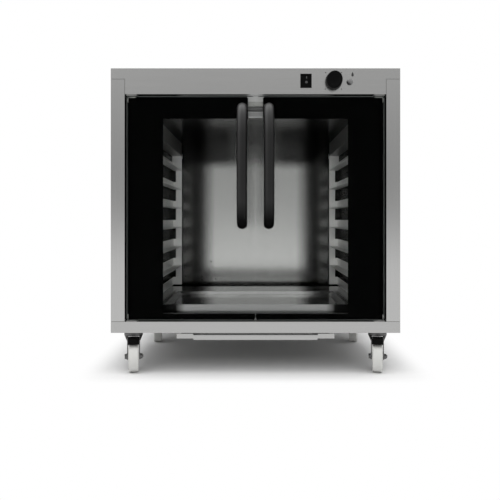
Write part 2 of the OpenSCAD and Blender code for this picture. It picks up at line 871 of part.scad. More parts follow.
// The rocker rests with its lower half pressed in
module switch_rocker() {
    half = rocker_h / 2;
    tip = rocker_tip;
    low = rocker_deep;
    color(black) translate([switch_x, front_y + rocker_axis_in, control_z]) rotate([rocker_tilt, 0, 0]) {
        translate([-rocker_w / 2, 0, 0]) rotate([90, 0, 90]) linear_extrude(rocker_w)
            polygon([[-tip, -half], [-rocker_waist, 0], [-tip, half],
                [low / 3, half * rocker_rim_share], [low, 0], [low / 3, -half * rocker_rim_share]]);
        bar_x(-rocker_w / 2 - rocker_pin_length, rocker_w / 2 + rocker_pin_length, 0, 0, rocker_pin_r);
    }
}

module thermostat_spindle() {
    color("silver") bar_y(knob_x, -spindle_out, spindle_in - run_gap, control_z, spindle_r);
}

// The knob: a disc with two flats on a slant, a stepped face and a pointer groove
knob_slant = 45;
module thermostat_knob() {
    r = knob_dia / 2;
    color(black) translate([knob_x, front_y - knob_gap, control_z]) rotate([90, 0, 0])
        rotate([0, 0, knob_slant]) difference() {
            intersection() {
                union() {
                    cylinder(h = knob_h - knob_face_inset, r = r);
                    cylinder(h = knob_h, r = r - knob_face_inset);
                }
                translate([-r, -knob_flats / 2, -cut])
                    cube([knob_dia, knob_flats, knob_h + 2 * cut]);
            }
            translate([0, 0, -cut]) cylinder(h = spindle_out - knob_gap + cut + run_gap,
                r = spindle_r + pin_play);
            translate([0, -knob_slot_w / 2, knob_h - knob_slot_deep])
                cube([r, knob_slot_w, knob_slot_deep + cut]);
        }
}

module pilot_lamp_body() {
    color("white") difference() {
        union() {
            bar_y(lamp_x, 0, lamp_body_t, lamp_z, lamp_stem_r);
            bar_y(lamp_x, sheet_t, sheet_t + 2 * lamp_flange_t, lamp_z, lamp_dia / 2);
        }
        bar_y(lamp_x, -cut, lamp_body_t - lamp_stem_r, lamp_z, lamp_stem_r - lamp_flange_t);
    }
}

// A flanged dome that stands on the fascia
module pilot_lamp_lens() {
    r = lamp_dia / 2;
    dome_r = (r * r + lamp_dome_h * lamp_dome_h) / (2 * lamp_dome_h);
    color("white") translate([lamp_x, front_y, lamp_z]) rotate([90, 0, 0]) intersection() {
        cylinder(h = lamp_flange_t + lamp_dome_h, r = r);
        translate([0, 0, lamp_flange_t + lamp_dome_h - dome_r]) sphere(r = dome_r);
    }
}

module terminal_block() {
    half = terminal_w / 2;
    face_d = back_skin_d - terminal_t;
    count = floor(terminal_w / terminal_pitch);
    color("ivory") block(around(terminal_x, half), [face_d, back_skin_d],
        around(back_fitting_z, terminal_h / 2));
    color("goldenrod") for (k = [0:count - 1])
        bar_y(terminal_x - half + (k + 0.5) * terminal_pitch, face_d - terminal_screw_h, face_d,
            back_fitting_z, terminal_screw_r);
}

// A wire along the body axes through a list of corner points [x, d, z]
module wire(points) {
    for (i = [0:len(points) - 2]) {
        a = points[i];
        b = points[i + 1];
        lo = [for (j = [0:2]) min(a[j], b[j])];
        hi = [for (j = [0:2]) max(a[j], b[j])];
        if (hi[0] > lo[0]) bar_x(lo[0], hi[0], front_y + a[1], a[2], wire_r);
        if (hi[1] > lo[1]) bar_y(a[0], lo[1], hi[1], a[2], wire_r);
        if (hi[2] > lo[2]) bar_z(a[0], front_y + a[1], lo[2], hi[2], wire_r);
        if (i > 0) translate([a[0], front_y + a[1], a[2]]) sphere(r = wire_r);
    }
}

// Wires run in the space over the insulation, and down the back to the heater
wire_drop = 30;
wire_back_gap = 12;
module wiring() {
    face_d = back_skin_d - terminal_t;
    start_d = face_d - terminal_screw_h;
    wire_d = face_d - wire_back_gap;
    half = terminal_w / 2;
    zb = back_fitting_z;
    side_x = liner_x + flange_w;
    heat_d = heater_back_d + heater_end_length;
    leg = heater_leg_gap / 2;
    return_gap = 2 * wire_back_gap / 3;
    tx = [for (k = [0:4]) terminal_x - half + (k + 0.5) * terminal_pitch];
    mid_d = wire_d - wire_drop;
    mid_x = knob_x - thermostat_w / 4;
    mid_z = control_z - thermostat_w / 4;
    lamp_d = wire_d + wire_r - wire_back_gap;
    down_d = face_d - wire_back_gap / 3;
    up_d = face_d - return_gap;
    low_z = heater_z - flange_w;
    color("firebrick") {
        wire([[tx[0], start_d, zb], [tx[0], wire_d, zb], [switch_x, wire_d, zb],
            [switch_x, wire_d, control_z], [switch_x, switch_body_t, control_z]]);
        wire([[tx[1], start_d, zb], [tx[1], mid_d, zb], [tx[1], mid_d, mid_z],
            [mid_x, mid_d, mid_z], [mid_x, sheet_t + thermostat_t, mid_z]]);
        wire([[tx[2], start_d, zb], [tx[2], lamp_d, zb], [lamp_x, lamp_d, zb],
            [lamp_x, lamp_d, lamp_z], [lamp_x, lamp_body_t, lamp_z]]);
    }
    color("royalblue") {
        wire([[tx[3], start_d, zb], [tx[3], down_d, zb], [tx[3], down_d, zb - wire_drop],
            [side_x, down_d, zb - wire_drop], [side_x, down_d, heater_z],
            [leg, down_d, heater_z], [leg, heat_d, heater_z]]);
        wire([[tx[4], start_d, zb], [tx[4], up_d, zb], [tx[4], up_d, zb - 2 * wire_drop],
            [side_x + flange_w, up_d, zb - 2 * wire_drop], [side_x + flange_w, up_d, low_z],
            [-leg, up_d, low_z], [-leg, up_d, heater_z], [-leg, heat_d, heater_z]]);
    }
}

module cable_gland() {
    color(dark_steel) difference() {
        union() {
            bar_y(gland_x, body_d, body_d + gland_nut_t, back_fitting_z, gland_r);
            bar_y(gland_x, body_d + gland_nut_t, body_d + gland_reach, back_fitting_z,
                gland_r - 2 * sheet_t);
            bar_y(gland_x, back_skin_d - gland_nut_t, body_d, back_fitting_z, gland_thread_r);
            bar_y(gland_x, back_skin_d - gland_nut_t, back_skin_d, back_fitting_z, gland_r);
        }
        bar_y(gland_x, back_skin_d - 2 * gland_nut_t, body_d + gland_reach + cut, back_fitting_z,
            gland_bore_r);
    }
}

module earth_stud() {
    color("goldenrod") {
        bar_y(stud_x, back_skin_d - stud_nut_t - sheet_t, body_d + stud_nut_t + stud_free_length,
            back_fitting_z, stud_r);
        bar_y(stud_x, body_d, body_d + stud_nut_t, back_fitting_z, stud_nut_r);
        bar_y(stud_x, back_skin_d - stud_nut_t, back_skin_d, back_fitting_z, stud_nut_r);
    }
}

// The runners hang under the body and carry the rims of the drip tray
drip_rim_z = drip_z1 - run_gap;
module drip_tray_runners() {
    depth = [drip_front_d + 2 * sheet_t, drip_front_d + drip_length];
    ledge_z = drip_rim_z - sheet_t - run_gap;
    color(steel) difference() {
        both_sides() {
            block([runner_x - runner_ledge_w, runner_x + sheet_t], depth,
                [ledge_z - sheet_t, ledge_z]);
            block([runner_x, runner_x + sheet_t], depth, [ledge_z - sheet_t, body_z0]);
            block([runner_x, runner_x + sheet_t + runner_foot_w], depth,
                [body_z0 - sheet_t, body_z0]);
        }
        both_sides() for (d = runner_screw_d)
            bar_z(runner_screw_x, front_y + d, body_z0 - sheet_t - cut, body_z0 + cut,
                screw_r + screw_play);
    }
}

module drip_tray() {
    half = drip_w / 2;
    depth = [drip_front_d + sheet_t, drip_front_d + drip_length];
    color(steel) {
        difference() {
            block([-drip_x, drip_x], depth, [drip_z0 + sheet_t / 2, drip_rim_z]);
            block([sheet_t - drip_x, drip_x - sheet_t], [depth[0] + sheet_t, depth[1] - sheet_t],
                [drip_z0 + 1.5 * sheet_t, drip_rim_z + cut]);
        }
        block([-half, half], [drip_front_d, drip_front_d + sheet_t], [drip_z0, drip_z1]);
        both_sides() {
            block([half, half + drip_ear_w], [drip_front_d, drip_front_d + sheet_t],
                [drip_z0 + drip_ear_rise, drip_z1 + drip_ear_rise]);
            block([drip_x, drip_x + drip_rim_w], [drip_front_d, depth[1]],
                [drip_rim_z - sheet_t, drip_rim_z]);
        }
    }
}

module castor_plates() {
    half = castor_plate_w / 2;
    z0 = body_z0 - castor_plate_t;
    color("silver") castor_places() {
        difference() {
            translate([-half, -half, z0]) cube([castor_plate_w, castor_plate_w, castor_plate_t]);
            four_corners(castor_hole_half) bar_z(0, 0, z0 - cut, body_z0 + cut, screw_r + screw_play);
        }
        bar_z(0, 0, z0 - castor_neck_h, z0, castor_neck_r);
        bar_z(0, 0, crown_z0 - run_gap, z0, king_pin_r);
        bar_z(0, 0, crown_z0 - run_gap - king_head_h, crown_z0 - run_gap, king_head_r);
    }
}

// One fork, drawn round its swivel axis, with the wheel trailing towards the front
module castor_fork() {
    half = fork_gap / 2;
    outer = half + fork_leg_t;
    skirt_z = crown_z0 - fork_skirt_h;
    color(dark_steel) {
        difference() {
            union() {
                bar_z(0, 0, crown_z0, crown_z1, fork_crown_r);
                bar_z(0, 0, crown_z1, fork_top_z, fork_race_r);
                hull() {
                    cylinder_at(crown_z0, fork_crown_r);
                    translate([-outer, -wheel_trail - fork_leg_foot_r, skirt_z])
                        cube([2 * outer, wheel_trail + 2 * fork_leg_foot_r, fork_leg_t]);
                }
                for (sx = [-outer, half]) translate([sx, 0, 0]) rotate([90, 0, 90])
                    linear_extrude(fork_leg_t) fork_leg_outline(skirt_z);
            }
            translate([-half, -2 * fork_crown_r, -cut])
                cube([fork_gap, 4 * fork_crown_r, crown_z0 + cut]);
            bar_z(0, 0, crown_z0 - cut, fork_top_z + cut, king_pin_r + pin_play);
            bar_x(-outer - cut, outer + cut, -wheel_trail, wheel_r, axle_r + pin_play);
            bar_x(-2 * outer, 2 * outer, pedal_axis_y, pedal_axis_z, pedal_pin_r + pin_play);
        }
    }
    color("silver") {
        bar_x(-outer - axle_washer_t, outer + axle_washer_t + axle_head_t + axle_end,
            -wheel_trail, wheel_r, axle_r);
        for (s = [-1, 1]) {
            x = outer + pin_play + axle_washer_t / 2;
            bar_x(s * x - axle_washer_t / 2, s * x + axle_washer_t / 2, -wheel_trail, wheel_r,
                axle_head_r + axle_washer_t);
            translate([s * (outer + pin_play + axle_washer_t + axle_head_t / 2) - axle_head_t / 2,
                -wheel_trail, wheel_r]) rotate([0, 90, 0])
                cylinder(h = axle_head_t, r = axle_head_r, $fn = 6);
        }
    }
}

// A thin disc under the crown, from which the fork skirt is drawn
module cylinder_at(z, r) {
    translate([0, 0, z]) cylinder(h = fork_leg_t / 2, r = r, $fn = 32);
}

// Side view of a fork leg in [y, z]: wide at the crown, round at the axle
module fork_leg_outline(skirt_z) {
    foot = fork_leg_foot_r;
    polygon([[-wheel_trail - foot, wheel_r], [-wheel_trail - foot, skirt_z + fork_leg_t],
        [2 * foot, skirt_z + fork_leg_t], [foot, skirt_z - foot], [-wheel_trail + foot, wheel_r]]);
    translate([-wheel_trail, wheel_r]) circle(r = foot);
}

// One wheel round its axle: tread, side recess and hub
module castor_wheel() {
    half = wheel_w / 2;
    hub_half = fork_gap / 2 - run_gap;
    tread = wheel_tread_r;
    color("whitesmoke") translate([0, -wheel_trail, wheel_r]) rotate([0, 90, 0]) rotate_extrude()
        difference() {
            union() {
                translate([axle_r + 2 * pin_play, -hub_half])
                    square([wheel_hub_r - axle_r - 2 * pin_play, 2 * hub_half]);
                translate([axle_r + 2 * pin_play, -half])
                    square([wheel_r - tread - axle_r - 2 * pin_play, wheel_w]);
                translate([wheel_r - tread, tread - half]) square([tread, wheel_w - 2 * tread]);
                for (s = [-1, 1]) translate([wheel_r - tread, s * (half - tread)]) circle(r = tread);
            }
            for (s = [-1, 1])
                translate([wheel_web_r0, s * (half - wheel_web_inset / 2) - wheel_web_inset / 2])
                    square([wheel_r - 3 * tread - wheel_web_r0, wheel_web_inset]);
        }
}

// The brake pedal turns on a pin in the fork and stands over the front of the wheel
pedal_pad_length = 14;
pedal_pad_up = 1.5;
pedal_pad_down = 11.5;
pedal_edge = 2;
pedal_arm_up = 3.5;
pedal_arm_down = 3;
pedal_boss_wall = 2;
module brake_pedal() {
    inside = fork_gap / 2 - pedal_arm_gap;
    y = pedal_axis_y;
    z = pedal_axis_z;
    arm_back = y + pedal_pin_r + pedal_boss_wall;
    front = pedal_front_y;
    pad_back = front + pedal_pad_length;
    pad_top = z + pedal_pad_up;
    pad_low = z - pedal_pad_down;
    color(black) {
        translate([-inside, 0, 0]) rotate([90, 0, 90]) linear_extrude(2 * inside)
            polygon([[arm_back, z + pedal_arm_up], [pad_back, pad_top], [pad_back, z - pedal_arm_down],
                [arm_back, z - pedal_arm_down]]);
        translate([-pedal_w / 2, 0, 0]) rotate([90, 0, 90]) linear_extrude(pedal_w)
            polygon([[pad_back, pad_top], [front + pedal_edge, pad_top], [front, pad_top - pedal_edge],
                [front, pad_low + pedal_edge], [front + pedal_edge, pad_low],
                [pad_back, pad_low + 2 * pedal_edge]]);
    }
    color("silver") bar_x(-fork_gap / 2 - fork_leg_t, fork_gap / 2 + fork_leg_t, y, z, pedal_pin_r);
}

// Stands a castor piece on its swivel axis, turned towards the middle of the cabinet
module on_castor(side, d) {
    translate([side * castor_x, front_y + d, 0]) rotate([0, 0, -side * castor_turn]) children();
}

module castor_fork_front_right() { on_castor(1, castor_front_d) castor_fork(); }
module castor_fork_front_left() { on_castor(-1, castor_front_d) castor_fork(); }
module castor_fork_rear_right() { on_castor(1, castor_rear_d) castor_fork(); }
module castor_fork_rear_left() { on_castor(-1, castor_rear_d) castor_fork(); }
module castor_wheel_front_right() { on_castor(1, castor_front_d) castor_wheel(); }
module castor_wheel_front_left() { on_castor(-1, castor_front_d) castor_wheel(); }
module castor_wheel_rear_right() { on_castor(1, castor_rear_d) castor_wheel(); }
module castor_wheel_rear_left() { on_castor(-1, castor_rear_d) castor_wheel(); }
module brake_pedal_front_right() { on_castor(1, castor_front_d) brake_pedal(); }
module brake_pedal_front_left() { on_castor(-1, castor_front_d) brake_pedal(); }

// Screws of the cabinet: castor plates, runners, hinge brackets, catch and back panel
module panel_screw(l) {
    cylinder(h = screw_head_h, r = screw_head_r);
    translate([0, 0, -l]) cylinder(h = l, r = screw_r);
}

module cabinet_screws() {
    castor_l = castor_plate_t + 2 * sheet_t;
    color("silver") {
        castor_places() four_corners(castor_hole_half)
            translate([0, 0, body_z0 - castor_plate_t]) mirror([0, 0, 1]) panel_screw(castor_l);
        both_sides() for (d = runner_screw_d)
            translate([runner_screw_x, front_y + d, body_z0 - sheet_t]) mirror([0, 0, 1])
                panel_screw(3 * sheet_t);
        both_sides() for (z = back_screw_z)
            translate([back_screw_x, front_y + body_d, z]) rotate([-90, 0, 0]) panel_screw(4 * sheet_t);
        both_sides() for (sx = [-hinge_screw_half, hinge_screw_half]) {
            translate([hinge_x + sx, front_y + frame_setback - hinge_screw_back, fascia_z + sheet_t])
                panel_screw(hinge_plate_top_t + sheet_t);
            translate([hinge_x + sx, front_y + frame_setback - hinge_screw_back, rail_z - sheet_t])
                mirror([0, 0, 1]) panel_screw(hinge_plate_bottom_t + sheet_t);
        }
        translate([0, front_y + door_back_d + catch_plate_t + door_seal_gap, catch_z + catch_h / 2])
            rotate([90, 0, 0]) panel_screw(catch_screw_length + sheet_t);
    }
}

module door_glass() {
    color([0.7, 0.8, 0.8, 0.5]) difference() {
        sheet_xz(glass_inset, glass_back_d)
            round_rect([door_x0, door_x1], [door_z0, door_z1], door_corner_r);
        for (z = [handle_z0, handle_z1])
            bar_y(handle_x, glass_inset - cut, glass_back_d + cut, z, handle_screw_r + screw_play);
    }
}

// Outline of the black border: hinge side, top as far as the notch, and bottom
module border_outline(hide, notch_hide) {
    x_in = door_x1 - border_side_w + hide;
    difference() {
        round_rect([door_x0, door_x1], [door_z0, door_z1], door_corner_r);
        rect([door_x0 - cut, x_in],
            [door_z0 + border_bottom_w - hide, door_z1 - border_top_w + hide]);
        rect([door_x0 - cut, notch_half_w + notch_hide],
            [door_z1 - border_top_w - cut, door_z1 + cut]);
    }
}

module door_border() {
    color(black) difference() {
        sheet_xz(glass_back_d, print_back_d) intersection() {
            border_outline(0, 0);
            rect([door_x0, door_x1 - border_margin], [door_z0, door_z1 - border_margin]);
        }
        bar_y(handle_x, glass_back_d - cut, print_back_d + cut, handle_z1,
            handle_screw_r + screw_play);
    }
}

// The steel frame behind the border is a channel that opens towards the glass
module door_frame() {
    t = sheet_t;
    x_in = door_x1 - border_side_w + frame_hide;
    z_low = door_z0 + border_bottom_w - frame_hide;
    z_top = door_z1 - border_top_w + frame_hide;
    x_notch = notch_half_w + frame_hide;
    color(steel) difference() {
        sheet_xz(print_back_d, door_back_d) border_outline(frame_hide, frame_hide);
        sheet_xz(print_back_d - cut, door_back_d - t) intersection() {
            round_rect([door_x0 + t, door_x1 - t], [door_z0 + t, door_z1 - t], door_corner_r);
            union() {
                rect([x_in + t, door_x1 - t], [door_z0 + t, door_z1 - t]);
                rect([door_x0 + t, door_x1 - t], [door_z0 + t, z_low - t]);
                rect([x_notch + t, door_x1 - t], [z_top + t, door_z1 - t]);
            }
        }
        bar_y(handle_x, door_back_d - 2 * t, door_back_d + cut, handle_z1, access_hole_r);
        bar_z(hinge_x, front_y + hinge_axis_d, door_z1 - 2 * t, door_z1 + cut,
            hinge_pin_r + screw_play);
        bar_z(hinge_x, front_y + hinge_axis_d, door_z0 - cut, door_z0 + 2 * t,
            hinge_pin_r + screw_play);
    }
}

// Hinge blocks in the frame corners, and the plate that meets the magnet catch
module door_fittings() {
    t = sheet_t;
    hinge_y = front_y + hinge_axis_d;
    color(dark_steel) {
        for (z = [door_z0 + t, door_z1 - t - hinge_block_h]) difference() {
            intersection() {
                block([hinge_x - hinge_block_half_w, door_x1 - t],
                    [print_back_d, door_back_d - t], [z, z + hinge_block_h]);
                sheet_xz(print_back_d, door_back_d - t) round_rect([door_x0 + t, door_x1 - t],
                    [door_z0 + t, door_z1 - t], door_corner_r);
            }
            bar_z(hinge_x, hinge_y, z - cut, z + hinge_block_h + cut, hinge_pin_r + pin_play);
        }
        block([catch_plate_x0, catch_plate_x0 + catch_plate_w],
            [door_back_d, door_back_d + catch_plate_t], [catch_z, catch_z + catch_h]);
    }
}

// Bow of the handle: a superellipse in depth and height, with an oval section
function bow_point(a) = [
    -handle_centre_reach * pow(sin(a), handle_bow_share),
    handle_leg_gap / 2 * sign(cos(a)) * pow(abs(cos(a)), handle_bow_share)];

// Direction of the bow at ring i, square to the glass at both ends
function bow_way(i) =
    i == 0 ? [-1, 0] : i == handle_rings ? [1, 0] :
    let (v = bow_point(180 * (i + 1) / handle_rings) - bow_point(180 * (i - 1) / handle_rings))
    v / norm(v);

module door_handle() {
    n = handle_rings;
    m = handle_sides;
    points = [for (i = [0:n]) let (p = bow_point(180 * i / n), w = bow_way(i))
        for (j = [0:m - 1]) let (c = cos(360 * j / m) * handle_w / 2, s = sin(360 * j / m) * handle_t / 2)
            [handle_x + c, front_y + glass_inset + p[0] + s * w[1],
                (handle_z0 + handle_z1) / 2 + p[1] - s * w[0]]];
    sides = [for (i = [0:n - 1], j = [0:m - 1])
        [i * m + j, i * m + (j + 1) % m, (i + 1) * m + (j + 1) % m, (i + 1) * m + j]];
    color(black) difference() {
        polyhedron(points, concat([[for (j = [0:m - 1]) m - 1 - j]], sides,
            [[for (j = [0:m - 1]) n * m + j]]));
        for (z = [handle_z0, handle_z1])
            bar_y(handle_x, glass_inset - handle_screw_deep - run_gap, glass_inset + cut, z,
                handle_screw_r + pin_play);
    }
}

module handle_screws() {
    color("silver") for (p = [[handle_z0, glass_back_d], [handle_z1, print_back_d]])
        translate([handle_x, front_y + p[1], p[0]]) rotate([-90, 0, 0]) {
            cylinder(h = handle_screw_head_h, r = handle_screw_head_r);
            translate([0, 0, glass_inset - handle_screw_deep - p[1]])
                cylinder(h = p[1] + handle_screw_deep - glass_inset, r = handle_screw_r);
        }
}

module door_glass_right() { door_glass(); }
module door_glass_left() { mirror([1, 0, 0]) door_glass(); }
module door_border_right() { door_border(); }
module door_border_left() { mirror([1, 0, 0]) door_border(); }
module door_frame_right() { door_frame(); }
module door_frame_left() { mirror([1, 0, 0]) door_frame(); }
module door_fittings_right() { door_fittings(); }
module door_fittings_left() { mirror([1, 0, 0]) door_fittings(); }
module door_handle_right() { door_handle(); }
module door_handle_left() { mirror([1, 0, 0]) door_handle(); }
module handle_screws_right() { handle_screws(); }
module handle_screws_left() { mirror([1, 0, 0]) handle_screws(); }

base_tray();
side_panel_left();
side_panel_right();
top_panel();
back_panel();
control_fascia();
front_frame();
cavity_floor();
cavity_ceiling();
cavity_wall_left();
cavity_wall_right();
cavity_back();
insulation();
rack_left();
rack_right();
rack_hangers();
air_ducts();
water_tray();
heating_element();
door_gasket();
magnet_catch();
hinge_brackets();
thermostat_body();
thermostat_sensor();
switch_housing();
pilot_lamp_body();
pilot_lamp_lens();
terminal_block();
wiring();
cable_gland();
earth_stud();
drip_tray_runners();
castor_plates();
cabinet_screws();
thermostat_spindle();
thermostat_knob();
switch_rocker();
drip_tray();
door_glass_left();
door_border_left();
door_frame_left();
door_fittings_left();
door_handle_left();
handle_screws_left();
door_glass_right();
door_border_right();
door_frame_right();
door_fittings_right();
door_handle_right();
handle_screws_right();
castor_fork_front_left();
castor_fork_front_right();
castor_fork_rear_left();
castor_fork_rear_right();
castor_wheel_front_left();
castor_wheel_front_right();
castor_wheel_rear_left();
castor_wheel_rear_right();
brake_pedal_front_left();
brake_pedal_front_right();
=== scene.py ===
"""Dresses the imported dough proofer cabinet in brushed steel, black-bordered glass and nylon castors."""
import json

import bmesh
import bpy
import numpy as np
from mathutils.bvhtree import BVHTree
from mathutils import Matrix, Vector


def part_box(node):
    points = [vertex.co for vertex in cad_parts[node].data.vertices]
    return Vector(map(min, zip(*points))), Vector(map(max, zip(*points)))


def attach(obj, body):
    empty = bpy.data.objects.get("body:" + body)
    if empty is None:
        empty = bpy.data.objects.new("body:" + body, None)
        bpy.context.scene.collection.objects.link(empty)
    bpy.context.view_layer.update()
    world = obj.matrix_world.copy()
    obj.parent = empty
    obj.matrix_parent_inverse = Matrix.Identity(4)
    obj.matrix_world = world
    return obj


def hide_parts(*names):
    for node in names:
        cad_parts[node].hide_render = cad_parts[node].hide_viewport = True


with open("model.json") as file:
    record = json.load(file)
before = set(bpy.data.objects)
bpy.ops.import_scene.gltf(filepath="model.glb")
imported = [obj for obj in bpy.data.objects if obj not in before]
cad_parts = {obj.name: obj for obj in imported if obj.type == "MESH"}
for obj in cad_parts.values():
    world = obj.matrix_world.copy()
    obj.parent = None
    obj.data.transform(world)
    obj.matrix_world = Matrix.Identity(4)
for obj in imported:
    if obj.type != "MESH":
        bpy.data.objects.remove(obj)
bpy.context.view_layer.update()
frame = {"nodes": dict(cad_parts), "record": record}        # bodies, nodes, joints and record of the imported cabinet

bpy.context.scene.view_settings.view_transform = "Standard"

# Camera. It stands level in front of the meeting edges of the doors, 1.64 m away and about half way up
# the cabinet. The lens is shifted a little, because the cabinet sits off the middle of the frame.
mm = 0.001
front_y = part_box("control_fascia")[0][1]
camera_away = 1640 * mm
camera_height = 420.5 * mm
camera = bpy.data.objects.new("camera", bpy.data.cameras.new("camera"))
camera.data.lens = 43.6
camera.data.sensor_width = 36
camera.data.shift_x = -0.011
camera.data.shift_y = -0.0612
camera.location = (0.0, front_y - camera_away, camera_height)
camera.rotation_euler = (np.pi / 2, 0, 0)
bpy.context.scene.collection.objects.link(camera)
bpy.context.scene.camera = camera


# Studio. The surround is pure white to the camera, also through glass, and one soft lamp hangs over the
# cabinet. What steel mirrors is a room that is greyer over the horizon than the white floor below it,
# and diffuse surfaces get most of their light from above and in front.
def srgb(code):
    """Turns a hex colour as it shows on a screen into the linear light that the shaders use."""
    parts = np.array([int(code[i:i + 2], 16) for i in (1, 3, 5)]) / 255
    light = np.where(parts > 0.04045, ((parts + 0.055) / 1.055) ** 2.4, parts / 12.92)
    return (*light.tolist(), 1.0)


def node(tree, kind, inputs=None, stops=(), **settings):
    """Adds a shader node with its settings; an input takes a value, or the socket that feeds it. Stops
    are a colour ramp's greys, each a place from 0 to 1 and a brightness."""
    made = tree.nodes.new(kind)
    for name, value in settings.items():
        setattr(made, name, value)
    for name, value in (inputs or {}).items():
        if isinstance(value, bpy.types.NodeSocket):
            tree.links.new(value, made.inputs[name])
        else:
            made.inputs[name].default_value = value
    for number, (place, level) in enumerate(stops):
        steps = made.color_ramp.elements
        while len(steps) < len(stops):
            steps.new(0.5)
        steps[number].position = place
        steps[number].color = (level, level, level, 1)
    return made


world = bpy.data.worlds.new("studio_surround")
bpy.context.scene.world = world
world.use_nodes = True
world.cycles.sampling_method = "NONE"
sky = world.node_tree
aim = node(sky, "ShaderNodeTexCoord")
way = node(sky, "ShaderNodeSeparateXYZ", {0: aim.outputs["Generated"]})

# The room by height, where 0.5 is the horizon: white below, darkest a little over the horizon and light
# again overhead. Its left wall is the brightest.
height01 = node(sky, "ShaderNodeMapRange", {"Value": way.outputs["Z"], "From Min": -1.0})
room = node(sky, "ShaderNodeValToRGB", {0: height01.outputs[0]},
            [(0.44, 0.95), (0.46, 1.0), (0.478, 0.89), (0.488, 0.78), (0.498, 0.67), (0.506, 0.57),
             (0.535, 0.51), (0.575, 0.58), (0.612, 0.665), (0.75, 1.0)])
left_wall = node(sky, "ShaderNodeMapRange", {"Value": way.outputs["X"], "From Min": -0.25, "From Max": -0.6,
                                             "To Min": 1.0, "To Max": 1.8})
lit_room = node(sky, "ShaderNodeMath", {0: room.outputs[0], 1: left_wall.outputs[0]}, operation="MULTIPLY")

# The light on diffuse surfaces: strongest from overhead, and weaker from behind and from both sides.
overhead = node(sky, "ShaderNodeMapRange", {"Value": way.outputs["Z"], "From Min": 0.05, "From Max": 0.75,
                                            "To Min": 0.12, "To Max": 1.8}, interpolation_type="SMOOTHSTEP")
behind = node(sky, "ShaderNodeMapRange", {"Value": way.outputs["Y"], "From Min": -0.1, "From Max": 0.6,
                                          "To Min": 1.0, "To Max": 0.3})
aside = node(sky, "ShaderNodeMath", {0: way.outputs["X"]}, operation="ABSOLUTE")
flank = node(sky, "ShaderNodeMapRange", {"Value": aside.outputs[0], "From Min": 0.3, "From Max": 0.9,
                                         "To Min": 1.0, "To Max": 0.3})
dimmed = node(sky, "ShaderNodeMath", {0: overhead.outputs[0], 1: behind.outputs[0]}, operation="MULTIPLY")
soft = node(sky, "ShaderNodeMath", {0: dimmed.outputs[0], 1: flank.outputs[0]}, operation="MULTIPLY")

# A ray from the camera meets plain white, a mirrored ray the room, and a diffuse ray the soft light.
path = node(sky, "ShaderNodeLightPath")
mirrored = node(sky, "ShaderNodeMath", {0: path.outputs["Glossy Depth"], 1: 0.5}, operation="GREATER_THAN")
seen = node(sky, "ShaderNodeMix", {0: mirrored.outputs[0], 6: (1, 1, 1, 1), 7: lit_room.outputs[0]},
            data_type="RGBA")
fill = node(sky, "ShaderNodeMix", {0: path.outputs["Is Diffuse Ray"], 6: seen.outputs[2],
                                   7: soft.outputs[0]}, data_type="RGBA")
sky.links.new(fill.outputs[2], sky.nodes["Background"].inputs["Color"])

lamp = bpy.data.lights.new("overhead_softbox", "AREA")
lamp.shape = "RECTANGLE"
lamp.size = 3.0
lamp.size_y = 2.2
lamp.energy = 24
softbox = bpy.data.objects.new("overhead_softbox", lamp)
softbox.location = (0, -0.35, 2.7)
bpy.context.scene.collection.objects.link(softbox)

# Floor. A plain white sheet that runs far out on all sides. It is lit only under and close round the
# cabinet, where the shadow lies, and glows plain white further out.
floor_half = 5.0
stand_low, stand_high = [np.array(corner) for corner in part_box("base_tray")]
stand_middle, stand_half = (stand_low + stand_high) / 2, (stand_high - stand_low) / 2
shadow_reach = 100 * mm
floor_mesh = bpy.data.meshes.new("floor")
floor_mesh.from_pydata([(-floor_half, -floor_half, 0), (floor_half, -floor_half, 0),
                        (floor_half, floor_half, 0), (-floor_half, floor_half, 0)], [], [(0, 1, 2, 3)])
floor = bpy.data.objects.new("floor", floor_mesh)
bpy.context.scene.collection.objects.link(floor)

# Matt paper takes the shadow, and the glow that it turns into hides where the sheet ends.
paper = bpy.data.materials.new("white_studio_paper")
paper.use_nodes = True
tree = paper.node_tree
tree.nodes.clear()
spot = node(tree, "ShaderNodeTexCoord")
shift = node(tree, "ShaderNodeVectorMath",
             {0: spot.outputs["Object"], 1: (stand_middle[0], stand_middle[1], 0)}, operation="SUBTRACT")
away = node(tree, "ShaderNodeVectorMath", {0: shift.outputs[0]}, operation="ABSOLUTE")
past = node(tree, "ShaderNodeVectorMath",
            {0: away.outputs[0], 1: (stand_half[0], stand_half[1], 0)}, operation="SUBTRACT")
outside = node(tree, "ShaderNodeVectorMath", {0: past.outputs[0], 1: (0, 0, 0)}, operation="MAXIMUM")
distance = node(tree, "ShaderNodeVectorMath", {0: outside.outputs[0]}, operation="LENGTH")
blend = node(tree, "ShaderNodeMapRange", {"Value": distance.outputs["Value"], "From Max": shadow_reach},
             interpolation_type="SMOOTHSTEP")
sheet = node(tree, "ShaderNodeBsdfDiffuse", {"Color": srgb("#F2F2F2")})
glow = node(tree, "ShaderNodeEmission", {"Color": (1, 1, 1, 1), "Strength": 1.0})
mixed = node(tree, "ShaderNodeMixShader", {0: blend.outputs[0], 1: sheet.outputs[0], 2: glow.outputs[0]})
node(tree, "ShaderNodeOutputMaterial", {"Surface": mixed.outputs[0]})
floor_mesh.materials.append(paper)

# Body. Base tray, side panels, top, back, fascia and door face are 1.2 mm stainless steel, brushed one
# way with a belt, then folded and spot welded. Each stands here with its folded edges rounded.
record = frame["record"]
body_of = {name: body for body, names in record["behaviour"]["bodies"].items() for name in names}
same_point = 0.001 * mm
flat_within, sharp_over = 0.5, 30    # degrees


def hang(made, name, replaces=True):
    """Puts a piece on the body of a CAD node, which it replaces or only goes with."""
    bpy.context.scene.collection.objects.link(made)
    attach(made, body_of[name])
    if replaces:
        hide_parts(name)


